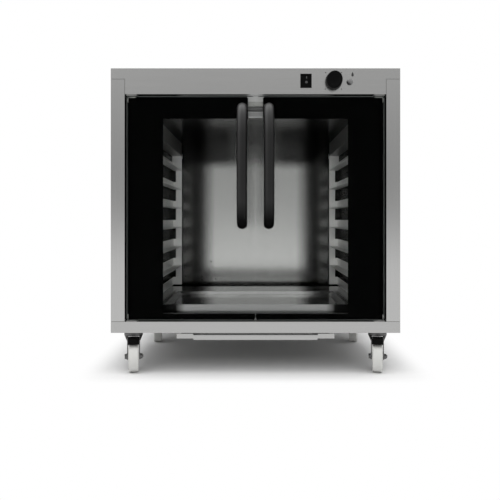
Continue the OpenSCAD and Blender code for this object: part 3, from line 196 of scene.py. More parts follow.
def rounded(material, radius, *names, steps=2):
    """Stands copies of CAD nodes in for them: doubles and flats merged, and sharp edges rounded."""
    for name in names:
        mesh = frame["nodes"][name].data.copy()
        mesh.name = name + "_rounded"
        work = bmesh.new()
        work.from_mesh(mesh)
        bmesh.ops.remove_doubles(work, verts=work.verts, dist=same_point)
        bmesh.ops.dissolve_limit(work, angle_limit=np.radians(flat_within), verts=work.verts,
                                 edges=work.edges)
        work.to_mesh(mesh)
        work.free()
        mesh.attributes.remove(mesh.attributes["custom_normal"])
        mesh.materials.clear()
        mesh.materials.append(material)
        mesh.polygons.foreach_set("use_smooth", np.ones(len(mesh.polygons), bool))
        made = bpy.data.objects.new(name + "_rounded", mesh)
        edges = made.modifiers.new("edges", "BEVEL")
        edges.width = radius
        edges.segments = steps
        edges.limit_method = "ANGLE"
        edges.angle_limit = np.radians(sharp_over)
        edges.harden_normals = True
        hang(made, name)


def blank(name):
    """A new material, its node tree and its Principled shader."""
    material = bpy.data.materials.new(name)
    material.use_nodes = True
    return material, material.node_tree, material.node_tree.nodes["Principled BSDF"]


def brushed_steel(name, low, high, roughness, grain, rim="#FFFFFF"):
    """Steel with brush lines: noise squeezed along two axes and stretched along the third by `grain`
    (lines per metre on each axis), which moves the colour between two greys, the roughness by a tenth
    and the slope of the surface a little. `rim` tints what it mirrors at a flat angle."""
    material, tree, shader = blank(name)
    shader.inputs["Metallic"].default_value = 1.0
    shader.inputs["Specular Tint"].default_value = srgb(rim)
    place = node(tree, "ShaderNodeTexCoord")
    squeeze = node(tree, "ShaderNodeMapping", {"Vector": place.outputs["Object"], "Scale": grain})
    lines = node(tree, "ShaderNodeTexNoise", {"Vector": squeeze.outputs[0], "Scale": 1.0, "Detail": 4.0})
    grey = node(tree, "ShaderNodeMix", {0: lines.outputs[0], 6: srgb(low), 7: srgb(high)}, data_type="RGBA")
    tree.links.new(grey.outputs[2], shader.inputs["Base Color"])
    gloss = node(tree, "ShaderNodeMapRange", {"Value": lines.outputs[0], "To Min": roughness * 0.9,
                                              "To Max": roughness * 1.1})
    tree.links.new(gloss.outputs[0], shader.inputs["Roughness"])
    relief = node(tree, "ShaderNodeBump", {"Height": lines.outputs[0], "Strength": 0.08,
                                           "Distance": 0.05 * mm})
    tree.links.new(relief.outputs[0], shader.inputs["Normal"])
    return material


# The belt leaves a soft, streaky shine, and the sheets brushed upright mirror the room more clearly.
# Brush lines are really 0.1 mm wide; they are drawn 1.2 mm wide and 200 mm long, so that they show.
line, stroke = 1 / (1.2 * mm), 1 / (200 * mm)
steel_across = brushed_steel("brushed_stainless_across", "#ABABAA", "#B7B7B6", 0.22, (stroke, line, line))
steel_upright = brushed_steel("brushed_stainless_upright", "#B0B0AF", "#BABAB9", 0.13, (line, line, stroke))
fold_r = 0.5 * mm    # outside of a folded edge
rounded(steel_across, fold_r, "base_tray", "top_panel", "control_fascia")
rounded(steel_upright, fold_r, "side_panel_left", "side_panel_right", "back_panel")

# Door face. A folded sheet behind the doors, spot welded to the body. Its colour holds painted shade:
# it is darker below the head, its sill darkens towards both ends, and a black band of painted shade
# fills the corner under the fascia.
head_foot, head_top = 700 * mm, 780 * mm
light_half, dark_half = 195 * mm, 220 * mm
face_steel, tree, shader = blank("door_face_stainless")
shader.inputs["Metallic"].default_value = 1.0
shader.inputs["Roughness"].default_value = 0.3
place = node(tree, "ShaderNodeTexCoord")
where = node(tree, "ShaderNodeSeparateXYZ", {0: place.outputs["Object"]})
level = node(tree, "ShaderNodeMapRange", {"Value": where.outputs["Z"], "From Min": head_foot,
                                          "From Max": head_top})
# Painted shade by height: darker below the head, and a black band under the fascia.
shade_up_the_face = node(tree, "ShaderNodeValToRGB", {0: level.outputs[0]},
                   [(0.19, 0.25), (0.22, 0.54), (0.74, 0.54), (0.75, 0.01)])
aside = node(tree, "ShaderNodeMath", {0: where.outputs["X"]}, operation="ABSOLUTE")
# Painted shadow at both ends of the sill.
shade_to_ends = node(tree, "ShaderNodeMapRange", {"Value": aside.outputs[0], "From Min": light_half,
                                           "From Max": dark_half, "To Min": 1.0, "To Max": 0.02})
painted_shade_tone = node(tree, "ShaderNodeMix", {0: 1.0, 6: shade_up_the_face.outputs[0], 7: shade_to_ends.outputs[0]},
            data_type="RGBA", blend_type="MULTIPLY")
tree.links.new(painted_shade_tone.outputs[2], shader.inputs["Base Color"])
edge_r = 0.4 * mm    # rounding of a cut or pressed edge
rounded(face_steel, edge_r, "front_frame")


# Chamber. The liner is 1.2 mm stainless steel with the mill's own gloss, welded at its corners. Painted
# shade darkens its colour along the sides of the floor, water tray and back sheet, along the top of the
# back sheet, and over the ceiling away from the doors.
def painted_shade_over(material, factor):
    """Darkens a material's base colour by a factor that a node works out, as painted shade."""
    tree = material.node_tree
    shader = tree.nodes["Principled BSDF"]
    unshaded_colour = shader.inputs["Base Color"].links[0].from_socket
    shade_mix = node(tree, "ShaderNodeMix", {0: 1.0, 6: unshaded_colour, 7: factor}, data_type="RGBA", blend_type="MULTIPLY")
    tree.links.new(shade_mix.outputs[2], shader.inputs["Base Color"])


# The mill's rolls leave marks a few hundredths of a millimetre wide; they are drawn 4.8 mm wide, to show.
# Rolled steel mirrors its surroundings almost clearly, with painted shade greying it along both sides.
roll = 1 / (4.8 * mm)
shade_from, shade_to = 140 * mm, 270 * mm    # distances from the middle
liner_steel = brushed_steel("mill_finish_stainless", "#B0B0AF", "#B6B6B6", 0.17, (roll, roll, stroke))
back_steel = brushed_steel("back_sheet_stainless", "#B6B6B5", "#BCBCBB", 0.15, (roll, roll, stroke))
for steel in (liner_steel, back_steel):
    tree = steel.node_tree
    place = node(tree, "ShaderNodeTexCoord")
    where = node(tree, "ShaderNodeSeparateXYZ", {0: place.outputs["Object"]})
    aside = node(tree, "ShaderNodeMath", {0: where.outputs["X"]}, operation="ABSOLUTE")
    sideways = node(tree, "ShaderNodeMapRange", {"Value": aside.outputs[0], "From Min": shade_from,
                                                 "From Max": shade_to})
    # Painted shade along both sides.
    side_shade = node(tree, "ShaderNodeValToRGB", {0: sideways.outputs[0]},
                     [(0.08, 1.0), (0.28, 0.6), (0.45, 0.25), (0.62, 0.2), (0.78, 0.42), (1.0, 0.4)])
    painted_shade_over(steel, side_shade.outputs[0])

# The back sheet also gets painted shade along its top, faintest in the middle.
faint_shade_half, deep_shade_half = 20 * mm, 110 * mm
unshaded_below, shaded_above = 600 * mm, 650 * mm
tree = back_steel.node_tree
place = node(tree, "ShaderNodeTexCoord")
where = node(tree, "ShaderNodeSeparateXYZ", {0: place.outputs["Object"]})
aside = node(tree, "ShaderNodeMath", {0: where.outputs["X"]}, operation="ABSOLUTE")
from_middle = node(tree, "ShaderNodeMapRange", {"Value": aside.outputs[0], "From Min": faint_shade_half,
                                                "From Max": deep_shade_half, "To Min": 0.75, "To Max": 0.2})
upward = node(tree, "ShaderNodeMapRange", {"Value": where.outputs["Z"], "From Min": unshaded_below,
                                           "From Max": shaded_above}, interpolation_type="SMOOTHSTEP")
top_shade = node(tree, "ShaderNodeMix", {0: upward.outputs[0], 2: 1.0, 3: from_middle.outputs[0]})
painted_shade_over(back_steel, top_shade.outputs[0])
rounded(liner_steel, edge_r, "cavity_floor")
rounded(back_steel, edge_r, "cavity_back")

# The walls behind the racks get a darker colour and rim than the liner all over, as painted shade, so they stay dark
# even at a flat angle.
shaded_wall_steel = brushed_steel("wall_stainless_painted_shade", "#747473", "#7C7C7B", 0.25, (roll, stroke, roll),
                           "#787878")
rounded(shaded_wall_steel, edge_r, "cavity_wall_left", "cavity_wall_right")

# The ceiling mirrors the back sheet near the doors; painted shade turns it almost black further in.
ceiling_depth = 600 * mm
ceiling_steel = brushed_steel("dark_ceiling_stainless", "#B0B0AF", "#B8B8B7", 0.16, (roll, stroke, roll),
                              "#909090")
tree = ceiling_steel.node_tree
place = node(tree, "ShaderNodeTexCoord")
where = node(tree, "ShaderNodeSeparateXYZ", {0: place.outputs["Object"]})
inward = node(tree, "ShaderNodeMapRange", {"Value": where.outputs["Y"], "From Min": front_y,
                                           "From Max": front_y + ceiling_depth})
ceiling_shade = node(tree, "ShaderNodeValToRGB", {0: inward.outputs[0]},
                    [(0.0, 1.0), (0.15, 0.9), (0.42, 0.35), (0.8, 0.05), (1.0, 0.02)])
painted_shade_over(ceiling_steel, ceiling_shade.outputs[0])
rounded(ceiling_steel, edge_r, "cavity_ceiling")

# Water tray. A shallow tray pressed from the liner's steel. It hangs by its rim in a cut-out of the
# chamber floor, held by its own weight, and lifts out by hand.
rounded(liner_steel, edge_r, "water_tray")

# Air ducts. One is folded from the same sheet for each rear corner and welded there. It is sanded by
# hand, which leaves a flat, even grey with no mirror in it.
duct_steel = brushed_steel("sanded_duct_stainless", "#8E8E8D", "#969695", 0.42, (roll, stroke, roll))
rounded(duct_steel, edge_r, "air_ducts")

# Racks. Strips and shelves bent from 1.2 mm stainless steel and left with a coarse brushed face. They look
# lighter than the liner between them, partly from that rough face and partly from painted light: a base
# colour lighter than steel. Hanger blocks hold them to the back sheet.
lightened_rack_steel = brushed_steel("rack_stainless", "#F0F0EF", "#F6F6F5", 0.48, (line, stroke, line))
rounded(lightened_rack_steel, edge_r, "rack_left", "rack_right", "rack_hangers")


# Insulation. Slabs of pressed mineral wool lie between the liner and the body on top, at both sides and
# at the back. They are cut to size and held by the sheets round them.
def plain(name, colour, roughness, speckle=0.0, grit=1.0, **sockets):
    """A moulded, plated or coated surface in one colour. Speckle is how much of a tenth of a millimetre
    its grit stands up, and grit is its number of grains per metre. Most real grit is finer than 0.1 mm;
    it is drawn 0.8 to 3 mm wide, so that it shows."""
    material, tree, shader = blank(name)
    shader.inputs["Base Color"].default_value = srgb(colour)
    shader.inputs["Roughness"].default_value = roughness
    for socket, value in sockets.items():
        shader.inputs[socket.replace("_", " ")].default_value = value
    place = node(tree, "ShaderNodeTexCoord")
    grains = node(tree, "ShaderNodeTexNoise", {"Vector": place.outputs["Object"], "Scale": grit,
                                               "Detail": 2.0})
    relief = node(tree, "ShaderNodeBump", {"Height": grains.outputs[0], "Strength": speckle,
                                           "Distance": 0.1 * mm})
    tree.links.new(relief.outputs[0], shader.inputs["Normal"])
    return material


def dress(material, *names):
    """Gives a material to CAD nodes by name."""
    for name in names:
        for slot in frame["nodes"][name].material_slots:
            slot.material = material


# Pressed fibre looks straw yellow and dead matt, with a woolly grit of 2 mm tufts.
wool = plain("mineral_wool", "#B7A468", 0.95, 0.6, 1 / (2 * mm))
dress(wool, "insulation")

# Door gasket. A soft lip of silicone rubber, moulded in one ring and pressed into the door face. Both
# doors close on it. Silicone looks dark grey and satin, with a fine bloom of 1 mm.
rubber = plain("gasket_silicone", "#565656", 0.7, 0.2, 1 / (1 * mm))
lip_r = 0.5 * mm
rounded(rubber, lip_r, "door_gasket")

# Hinges, plates and screws. Brackets and plates are pressed from 2 to 3 mm steel, pins and screws are
# turned, and all are zinc plated. The screws hold the brackets, castor plates, runners and handles.
# Zinc plating looks pale grey with a soft shine and the faint orange peel of the bath, 3 mm wide.
zinc = plain("zinc_plated_steel", "#9C9C9A", 0.35, 0.1, 1 / (3 * mm), Metallic=1.0)
rounded(zinc, edge_r, "hinge_brackets", "cabinet_screws", "castor_plates", "drip_tray_runners",
        "door_fittings_left", "door_fittings_right", "handle_screws_left", "handle_screws_right")

# Heater and thermostat. A hairpin element in a drawn steel sheath stands in the air trough, and the
# thermostat's pressed case with its turned spindle is screwed behind the fascia. They are plated too.
rounded(zinc, edge_r, "thermostat_spindle", "thermostat_body", "heating_element")

# Magnet catch. Two pole plates round a magnet, screwed under the head of the door face, where they meet
# the doors' catch plates. The doors have rubbed them, so they look duller than fresh zinc.
dull_zinc = plain("dull_zinc_on_catch", "#9A9A98", 0.5, 0.1, 1 / (3 * mm), Metallic=1.0)
rounded(dull_zinc, edge_r, "magnet_catch")

# Earth stud. A threaded brass stud with its nuts, fixed through the back sheet for the bonding wire.
# Turned brass looks warm yellow and fairly bright.
brass = plain("brass", "#B89A4E", 0.3, 0.1, 1 / (2 * mm), Metallic=1.0)
rounded(brass, edge_r, "earth_stud")

# Thermostat sensor. A copper bulb and its thin tube, drawn and then bent by hand. A clip holds the bulb
# in the chamber. Drawn copper looks red-brown, bright along the tube and lightly tarnished.
copper = plain("drawn_copper_tube", "#B0704A", 0.3, 0.1, 1 / (2 * mm), Metallic=1.0)
dress(copper, "thermostat_sensor")

# Wiring. Stranded copper wires in extruded vinyl sleeves join the terminal block to the switch, lamp,
# thermostat and heater. Soft vinyl looks dark red and half glossy.
jacket = plain("wire_jacket_pvc", "#8C2F28", 0.45, 0.1, 1 / (1 * mm))
dress(jacket, "wiring")

# Terminal block and lamp body. Both are pressed from melamine. The block is screwed down, and the lamp
# body is clipped behind the fascia. Melamine looks ivory, hard and smooth.
ivory = plain("ivory_melamine", "#D8D2C0", 0.4, 0.1, 1 / (1 * mm))
rounded(ivory, edge_r, "terminal_block", "pilot_lamp_body")

# Switch, cable gland and brake pedals. All are injection moulded in black polyamide: the switch snaps
# into the fascia, the gland is screwed into the back, and the pedals turn on pins in the front forks.
# The moulding looks deep black, with a fine spark-eroded grain of 0.8 mm that takes its shine away.
black_plastic = plain("moulded_black_polyamide", "#070707", 0.45, 0.15, 1 / (0.8 * mm),
                      Specular_IOR_Level=0.06)
mould_r = 0.6 * mm    # rounding of a moulded edge
rounded(black_plastic, mould_r, "switch_housing", "switch_rocker", "cable_gland",
        "brake_pedal_front_left", "brake_pedal_front_right", steps=3)

# Drip tray. A shallow tray folded from the same brushed sheet as the body, which slides out forwards on
# two runners under the base.
rounded(steel_across, edge_r, "drip_tray")

# Castor forks. Each is pressed from 2.5 mm steel and turns under its plate on a king pin. An axle bolt
# with its nut joins the legs. Old plating looks darker and duller than the brackets over it.
fork_steel = plain("dull_plated_fork_steel", "#6A6A6A", 0.4, 0.1, 1 / (2 * mm), Metallic=1.0)
ends = [f"{end}_{side}" for end in ("front", "rear") for side in ("left", "right")]
fork_r = 0.6 * mm
rounded(fork_steel, fork_r, *["castor_fork_" + end for end in ends])


# Doors. Each is a pane of 6 mm toughened glass with ground edges, with a black enamel border fired on
# its inner face. A steel channel, coated black, stiffens it from inside and holds the hinge blocks.
def skin(rings, closed=False):
    """Shell over a grid of points: ring i, point j, each ring closed on itself. The last ring joins the
    first where `closed`; otherwise a point in the middle of each end ring closes that end. A shell is an
    array of points and a list of faces."""
    count, sides = rings.shape[:2]
    spans = count if closed else count - 1
    i, j = np.meshgrid(np.arange(spans), np.arange(sides), indexing="ij")
    k, after = (j + 1) % sides, (i + 1) % count
    faces = np.stack([i * sides + j, i * sides + k, after * sides + k, after * sides + j], axis=-1)
    faces = faces.reshape(-1, 4).tolist()
    points = rings.reshape(-1, 3)
    if not closed:
        ring, turned = np.arange(sides), (np.arange(sides) + 1) % sides
        last = (count - 1) * sides
        points = np.concatenate([points, [rings[0].mean(axis=0)], [rings[-1].mean(axis=0)]])
        start = np.stack([turned, ring, np.full(sides, count * sides)], axis=-1)
        stop = np.stack([last + ring, last + turned, np.full(sides, count * sides + 1)], axis=-1)
        faces += start.tolist() + stop.tolist()
    return points, faces


def outward(points, faces):
    """The faces turned so that they point out: six times the volume they enclose, summed as the triple
    products of each face's fan of triangles, is then positive."""
    fans = np.array([(f[0], f[k], f[k + 1]) for f in faces for k in range(1, len(f) - 1)])
    a, b, c = points[fans[:, 0]], points[fans[:, 1]], points[fans[:, 2]]
    return faces if np.einsum("ij,ij->", a, np.cross(b, c)) > 0 else [f[::-1] for f in faces]


def piece(name, shells, material, stands_for, replaces=True, sharp=35):
    """Makes one object of closed shells, smooth except at edges over `sharp` degrees, and hangs it in
    place of a CAD node or with it."""
    points, faces, start = [], [], 0
    for shell_points, shell_faces in shells:
        points.append(shell_points)
        faces += [[v + start for v in face] for face in outward(shell_points, shell_faces)]
        start += len(shell_points)
    mesh = bpy.data.meshes.new(name)
    mesh.from_pydata(np.concatenate(points).tolist(), [], faces)
    mesh.polygons.foreach_set("use_smooth", np.ones(len(faces), bool))
    mesh.set_sharp_from_angle(angle=np.radians(sharp))
    mesh.materials.append(material)
    made = bpy.data.objects.new(name, mesh)
    hang(made, stands_for, replaces)
    return made


def corner_box(half_w, half_h, corner, steps=8):
    """Outline of a rounded rectangle as a function of how far it is drawn in: four quarter circles
    about the middles of its corners."""
    angle = np.arange(4)[:, None] * np.pi / 2 + np.linspace(0, np.pi / 2, steps)
    sign_x, sign_y = np.array([[1, -1, -1, 1], [1, 1, -1, -1]])[:, :, None]

    def outline(inset):
        r = max(corner - inset, 0.02 * mm)
        return np.stack([sign_x * (half_w - inset - r) + r * np.cos(angle),
                         sign_y * (half_h - inset - r) + r * np.sin(angle)], axis=-1).reshape(-1, 2)
    return outline


def loft(outline, profile, centre, axis):
    """Rings of an outline carried through a profile: each pair of inset and height draws the outline
    in by the inset and moves it along the axis by the height."""
    rings = np.stack([np.column_stack([outline(inset), np.full(len(outline(inset)), rise)])
                      for inset, rise in profile])
    order = {"x": (2, 0, 1), "y": (0, 2, 1), "z": (0, 1, 2)}[axis]
    return rings[..., order] + np.array(centre)


def clear_glass(name, tint, ior):
    """Glass that bends light by its ior; rays from lamps pass straight through it."""
    material, tree, shader = blank(name)
    shader.inputs["Base Color"].default_value = srgb(tint)
    shader.inputs["Roughness"].default_value = 0.0
    shader.inputs["IOR"].default_value = ior
    shader.inputs["Transmission Weight"].default_value = 1.0
    path = node(tree, "ShaderNodeLightPath")
    through = node(tree, "ShaderNodeBsdfTransparent", {"Color": srgb(tint)})
    either = node(tree, "ShaderNodeMixShader",
                  {0: path.outputs["Is Shadow Ray"], 1: shader.outputs[0], 2: through.outputs[0]})
    tree.links.new(either.outputs[0], tree.nodes["Material Output"].inputs["Surface"])
    return material


# Clean float glass is colourless and shows no glare here, so its index is 1.0 where glass has 1.52. The
# few rays that a weaker index mirrors turn to white specks on the black.
door_glass = clear_glass("toughened_glass", "#FDFEFD", 1.0)
# The ground edge scatters light and looks like a dark grey line.
ground = plain("ground_glass_edge", "#3E4240", 0.6)
# Fired enamel is the deepest black of the cabinet, and smooth. Its sheen is kept faint behind the glass.
enamel = plain("black_fired_enamel", "#020202", 0.18, 0.02, 1 / (1 * mm), Specular_IOR_Level=0.01)
# Powder coating looks a little lighter than the enamel, and satin, with an orange peel of 1 mm.
coated = plain("black_coated_channel", "#161616", 0.5, 0.1, 1 / (1 * mm), Specular_IOR_Level=0.2)
pane_corner = 6 * mm
ground_edge = 1.3 * mm
sheet_r = 0.3 * mm       # rounding of the channel's edges
print_gap = 0.05 * mm    # keeps the pane's inner face and the enamel's outer face apart
meeting_edge = 10 * mm   # from the middle of the cabinet
for side in ("left", "right"):
    low, high = [np.array(corner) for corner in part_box("door_glass_" + side)]
    middle, half = (low + high) / 2, (high - low) / 2
    inner = half[1] - print_gap
    edge = [(ground_edge, -half[1]), (0, ground_edge - half[1]),
            (0, inner - ground_edge), (ground_edge, inner)]
    pane = loft(corner_box(half[0], half[2], pane_corner), edge, middle, "y")
    made = piece("pane_" + side, [skin(pane)], door_glass, "door_glass_" + side)
    made.data.materials.append(ground)
    # The edges are ground all round, but polished where the doors meet.
    on_edge = [int(abs(face.normal.y) < 0.9 and abs(face.center.x) > meeting_edge)
               for face in made.data.polygons]
    made.data.polygons.foreach_set("material_index", on_edge)
dress(enamel, "door_border_left", "door_border_right")
rounded(coated, sheet_r, "door_frame_left", "door_frame_right")

# Handles. Each is a bow injection moulded in glass-filled polyamide and screwed through the glass from
# inside. It is satin black, with its sheen painted: a painted highlight at the top and painted shade at its
# lower end.
shaded_foot, highlight_top = 400 * mm, 740 * mm
handle_black = plain("satin_black_polyamide", "#0B0B0B", 0.42, 0.12, 1 / (1 * mm))
tree = handle_black.node_tree
place = node(tree, "ShaderNodeTexCoord")
where = node(tree, "ShaderNodeSeparateXYZ", {0: place.outputs["Object"]})
level = node(tree, "ShaderNodeMapRange", {"Value": where.outputs["Z"], "From Min": shaded_foot,
                                          "From Max": highlight_top})
# Painted highlight and shade: the specular level rises from the lower end to the top.
gloss = node(tree, "ShaderNodeValToRGB", {0: level.outputs[0]},
             [(0.05, 0.02), (0.2, 0.32), (0.72, 0.34), (0.86, 0.60), (0.95, 0.80)])
tree.links.new(gloss.outputs[0], tree.nodes["Principled BSDF"].inputs["Specular IOR Level"])
bow_share = 0.62        # 1 would be half an ellipse, and less is squarer
bow_half_t = 12.5 * mm
bow_rings, bow_sides = 120, 40
fine_steps = 1500       # of the curve, before it is cut to even steps


def bow(middle, reach, half_gap, half_w, half_t):
    """An oval carried along a superellipse: depth = reach times sin to the power `bow_share`, height =
    half_gap times cos to the same power, with even steps along its length."""
    turn = np.linspace(0, np.pi, fine_steps)
    depth = -reach * np.sin(turn).clip(0) ** bow_share
    rise = half_gap * np.sign(np.cos(turn)) * np.abs(np.cos(turn)) ** bow_share
    run = np.concatenate([[0], np.cumsum(np.hypot(np.diff(depth), np.diff(rise)))])
    steps = np.linspace(0, run[-1], bow_rings)
    spine = np.stack([np.interp(steps, run, depth), np.interp(steps, run, rise)], axis=1)
    way = np.gradient(spine, axis=0)
    way[0], way[-1] = (-1, 0), (1, 0)
    way /= np.linalg.norm(way, axis=1, keepdims=True)
    angle = np.linspace(0, 2 * np.pi, bow_sides, endpoint=False)
    across = np.cos(angle)[None, :] * half_w + np.zeros(bow_rings)[:, None]
    off = np.sin(angle)[None, :] * half_t
    return np.stack([middle[0] + across, middle[1] + spine[:, :1] + off * way[:, 1:],
                     middle[2] + spine[:, 1:] - off * way[:, :1]], axis=-1)


for side in ("left", "right"):
    low, high = [np.array(corner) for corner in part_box("door_handle_" + side)]
    middle = ((low[0] + high[0]) / 2, high[1], (low[2] + high[2]) / 2)
    reach = high[1] - low[1] - bow_half_t
    half_gap = (high[2] - low[2]) / 2 - bow_half_t
    rings = bow(middle, reach, half_gap, (high[0] - low[0]) / 2, bow_half_t)
    piece("handle_bow_" + side, [skin(rings)], handle_black, "door_handle_" + side)


# Thermostat knob. An oval moulding of the same black polyamide, with a fine flute round its grip and a
# slightly dished face. It tapers towards the face, leans to the right and is pushed on the spindle.
def arc(centre, radius, start, stop, steps=8):
    """Points of a circle's arc between two angles in degrees."""
    angle = np.radians(np.linspace(start, stop, steps))
    return np.stack([centre[0] + radius * np.cos(angle), centre[1] + radius * np.sin(angle)], axis=-1)


knob_low, knob_high = [np.array(corner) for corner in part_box("thermostat_knob")]
knob_middle = (knob_low + knob_high) / 2
knob_h = knob_high[1] - knob_low[1]
knob_long, knob_short = 25.2 * mm, 22.8 * mm    # half of its length and width
knob_lean = 15                                  # degrees
flute_deep, flutes = 0.3 * mm, 60
knob_angle = np.linspace(0, 2 * np.pi, 360, endpoint=False)


def knob_outline(inset):
    """Radius by angle: an ellipse whose long axis leans to the right, less a cosine flute and the inset."""
    turn = knob_angle - np.radians(90 - knob_lean)
    oval = knob_long * knob_short / np.hypot(knob_short * np.cos(turn), knob_long * np.sin(turn))
    radius = oval - flute_deep * (1 - np.cos(flutes * knob_angle)) / 2 - inset
    return radius[:, None] * np.stack([np.cos(knob_angle), np.sin(knob_angle)], axis=-1)


knob_fillet = 2.5 * mm
knob_taper = 1.2 * mm
dish_from, dish_to, dish_deep = 9 * mm, 10 * mm, 0.6 * mm    # insets between which the face steps down
flat_to = 20 * mm
rim = arc((knob_taper + knob_fillet, knob_fillet - knob_h), knob_fillet, 180, 270)
dish = [(dish_from, -knob_h), (dish_to, dish_deep - knob_h), (flat_to, dish_deep - knob_h)]
knob_profile = np.vstack([[(0, 0)], rim, dish])
knob = loft(knob_outline, knob_profile, (knob_middle[0], knob_high[1], knob_middle[2]), "y")
piece("knob_moulding", [skin(knob)], black_plastic, "thermostat_knob", sharp=50)


# Marks. Four grey dots and a dark drop are screen printed on the fascia round the knob and over the
# lamp. I and O are moulded in the rocker and filled with paint. Each is a thin flat layer.
def circle(radius, sides=96):
    """Outline of a circle as a function of how far it is drawn in: radius less inset."""
    angle = np.linspace(0, 2 * np.pi, sides, endpoint=False)
    return lambda inset: (radius - inset) * np.stack([np.cos(angle), np.sin(angle)], axis=-1)


def mark(name, outline, holes, centre, target, material):
    """Paints a flat outline on the front of a CAD node. Three rays find the plane of that face; the
    outline lies on it, and a second outline cuts a hole."""
    sheet = frame["nodes"][target].data
    surface = BVHTree.FromPolygons([v.co for v in sheet.vertices], [f.vertices for f in sheet.polygons])
    step = 1.0 * mm
    start_y = front_y - 100 * mm

    def face_at(x, z):
        return surface.ray_cast((x, start_y, z), (0, 1, 0))[0][1]

    y0 = face_at(*centre)
    lean = np.array([face_at(centre[0] + step, centre[1]) - y0,
                     face_at(centre[0], centre[1] + step) - y0]) / step

    def ring(points, lift):
        x, z = centre[0] + points[:, 0], centre[1] + points[:, 1]
        return np.column_stack([x, y0 + points @ lean - lift, z])

    sunk, proud = -0.2 * mm, 0.08 * mm
    rings = [ring(outline, sunk), ring(outline, proud)]
    if holes is not None:
        rings += [ring(holes, proud), ring(holes, sunk)]
    piece(name, [skin(np.stack(rings), closed=holes is not None)], material, target, replaces=False)


# Printing ink and paint dry matt, so the three greys look the same from every side.
grey_print = plain("grey_screen_print", "#4C4C4C", 0.6)
dark_print = plain("dark_screen_print", "#2E2E2E", 0.6)
pale_paint = plain("pale_filled_paint", "#6C6C6C", 0.6)

dot_r = 1.6 * mm
dot_places = [(190.0, 818), (232.8, 818), (189.0, 773.6), (232.8, 773.6)]    # x and z in mm
for k, (x, z) in enumerate(dot_places):
    mark(f"dial_dot_{k}", circle(dot_r, 24)(0), None, (x * mm, z * mm), "control_fascia", grey_print)

# The drop is a circle whose upper half narrows to a point: its width goes with the sine of the angle,
# times the sine of half the angle to the power 1.6.
drop_half_w, drop_half_h = 4.6 * mm, 6.6 * mm
drop_place = (262.9 * mm, 814 * mm)
drop_angle = np.linspace(0, 2 * np.pi, 48, endpoint=False)
drop = np.stack([drop_half_w * np.sin(drop_angle) * np.sin(drop_angle / 2) ** 1.6,
                 drop_half_h * np.cos(drop_angle)], axis=-1)
mark("drop_sign", drop, None, drop_place, "control_fascia", dark_print)

rocker_low, rocker_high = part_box("switch_rocker")
letters_x = (rocker_low[0] + rocker_high[0]) / 2 + 1.5 * mm    # a little right of its middle
on_z, off_z = 804.5 * mm, 792.5 * mm
letter_half, stem_half, stem_corner = 3.0 * mm, 0.7 * mm, 0.4 * mm
mark("mark_on", corner_box(stem_half, letter_half, stem_corner, 4)(0), None, (letters_x, on_z),
     "switch_rocker", pale_paint)
mark("mark_off", circle(letter_half, 40)(0), circle(letter_half - 2 * stem_half, 40)(0), (letters_x, off_z),
     "switch_rocker", pale_paint)

# Pilot lamp. A domed lens moulded in clear polycarbonate, snapped on the lamp body. Its colour holds
# painted shade: a dark crescent at the lower left, and the rest as grey as the fascia.
lens_low, lens_high = [np.array(corner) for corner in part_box("pilot_lamp_lens")]
lens_middle = (lens_low + lens_high) / 2
lens_radius = (lens_high[0] - lens_low[0]) / 2
lens_h = lens_high[1] - lens_low[1]
lens, tree, shader = blank("lens_with_painted_shade")
shader.inputs["Roughness"].default_value = 0.35
shader.inputs["Specular IOR Level"].default_value = 0.25
lower_left = (-0.62, 0, -0.78)
place = node(tree, "ShaderNodeTexCoord")
toward = node(tree, "ShaderNodeVectorMath", {0: place.outputs["Object"], 1: lower_left},
              operation="DOT_PRODUCT")
centre = float(np.dot(lens_middle, lower_left))
spread = node(tree, "ShaderNodeMapRange", {"Value": toward.outputs["Value"],
                                           "From Min": centre - lens_radius,
                                           "From Max": centre + lens_radius})
# Painted shade: the base colour darkens towards the lower left.
painted_crescent_shade = node(tree, "ShaderNodeValToRGB", {0: spread.outputs[0]},
                [(0.0, 0.21), (0.55, 0.19), (0.72, 0.09), (0.85, 0.006)])
tree.links.new(painted_crescent_shade.outputs[0], shader.inputs["Base Color"])
skirt = 0.25    # share of the height that stands straight, under the dome
dome = [(lens_radius * (1 - np.cos(t)), -lens_h * (skirt + (1 - skirt) * np.sin(t)))
        for t in np.linspace(0, np.pi / 2 * 0.96, 12)]
rings = loft(circle(lens_radius), [(0, 0)] + dome, (lens_middle[0], lens_high[1], lens_middle[2]), "y")
piece("lens_dome", [skin(rings)], lens, "pilot_lamp_lens")
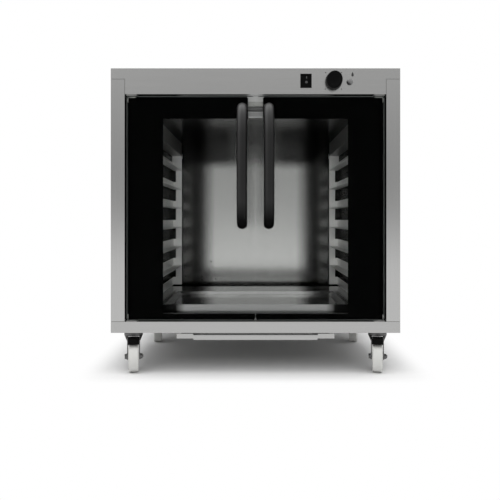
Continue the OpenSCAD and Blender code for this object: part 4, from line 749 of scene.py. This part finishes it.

# Rivets. Five small domed heads low on the left of the back sheet, where a bracket behind it is held.
# They are steel with a near black colour, so they look like dark points with hardly any shine.
rivet_r, rivet_rise = 2.4 * mm, 0.9 * mm
rivet_places = [(-260.8, 209.3), (-199.2, 208.2), (-199.0, 195.9),
                (-148.5, 198.9), (-165.3, 263.4)]    # x and z in mm
rivet_sunk = 0.2 * mm
sheet_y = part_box("cavity_back")[0][1]
black_rivet = plain("near_black_rivet", "#141414", 0.5, Metallic=1.0)
cap = [(rivet_r * (1 - np.cos(t)), -rivet_rise * np.sin(t)) for t in np.linspace(0, 1.5, 8)]
rivets = [skin(loft(circle(rivet_r, 24), [(0, rivet_sunk)] + cap, (x * mm, sheet_y, z * mm), "y"))
          for x, z in rivet_places]
piece("back_rivets", rivets, black_rivet, "cavity_back", replaces=False)

# Castor wheels. Each is moulded in one piece of nylon, with a flat tread, rounded shoulders, a recessed
# web on both faces and a raised hub round its bore. It turns on its own axle, a little off square.
# Nylon looks pale, waxy and half matt.
nylon = plain("pale_grey_nylon", "#D4D4D1", 0.5, 0.1, 1 / (2 * mm))
axle_way = {joint["name"]: np.array(joint["axis"]) for joint in record["behaviour"]["joints"]}
half, hub_half = 13.5 * mm, 14.7 * mm              # half of the width at the rim and at the hub
bore_r, hub_r, web_r, rim_r = 4.1 * mm, 11.4 * mm, 30 * mm, 32 * mm
draft = 1.0 * mm                                   # of the hub, from its face to the web
web_sunk, rim_sunk = 3.5 * mm, 0.6 * mm
shoulder, face_edge = 3.5 * mm, 5 * mm             # drawn in from the tread
for end in ends:
    low, high = [np.array(corner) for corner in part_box("castor_wheel_" + end)]
    radius = (high[2] - low[2]) / 2
    half_profile = np.vstack([
        [(radius - bore_r, 0), (radius - bore_r, hub_half), (radius - hub_r, hub_half)],
        [(radius - hub_r - draft, half - web_sunk), (radius - web_r, half - web_sunk),
         (radius - rim_r, half - rim_sunk), (face_edge, half)],
        arc((shoulder, half - shoulder), shoulder, 90, 180, 8), [(0, 0)]])
    profile = np.vstack([half_profile, half_profile[-2:0:-1] * (1, -1)])
    along = axle_way["wheel_roll_" + end]
    turn = np.array([along, (-along[1], along[0], 0), (0, 0, 1)])
    rings = loft(circle(radius), profile, (0, 0, 0), "x") @ turn + (low + high) / 2
    piece("wheel_" + end, [skin(rings, closed=True)], nylon, "castor_wheel_" + end)
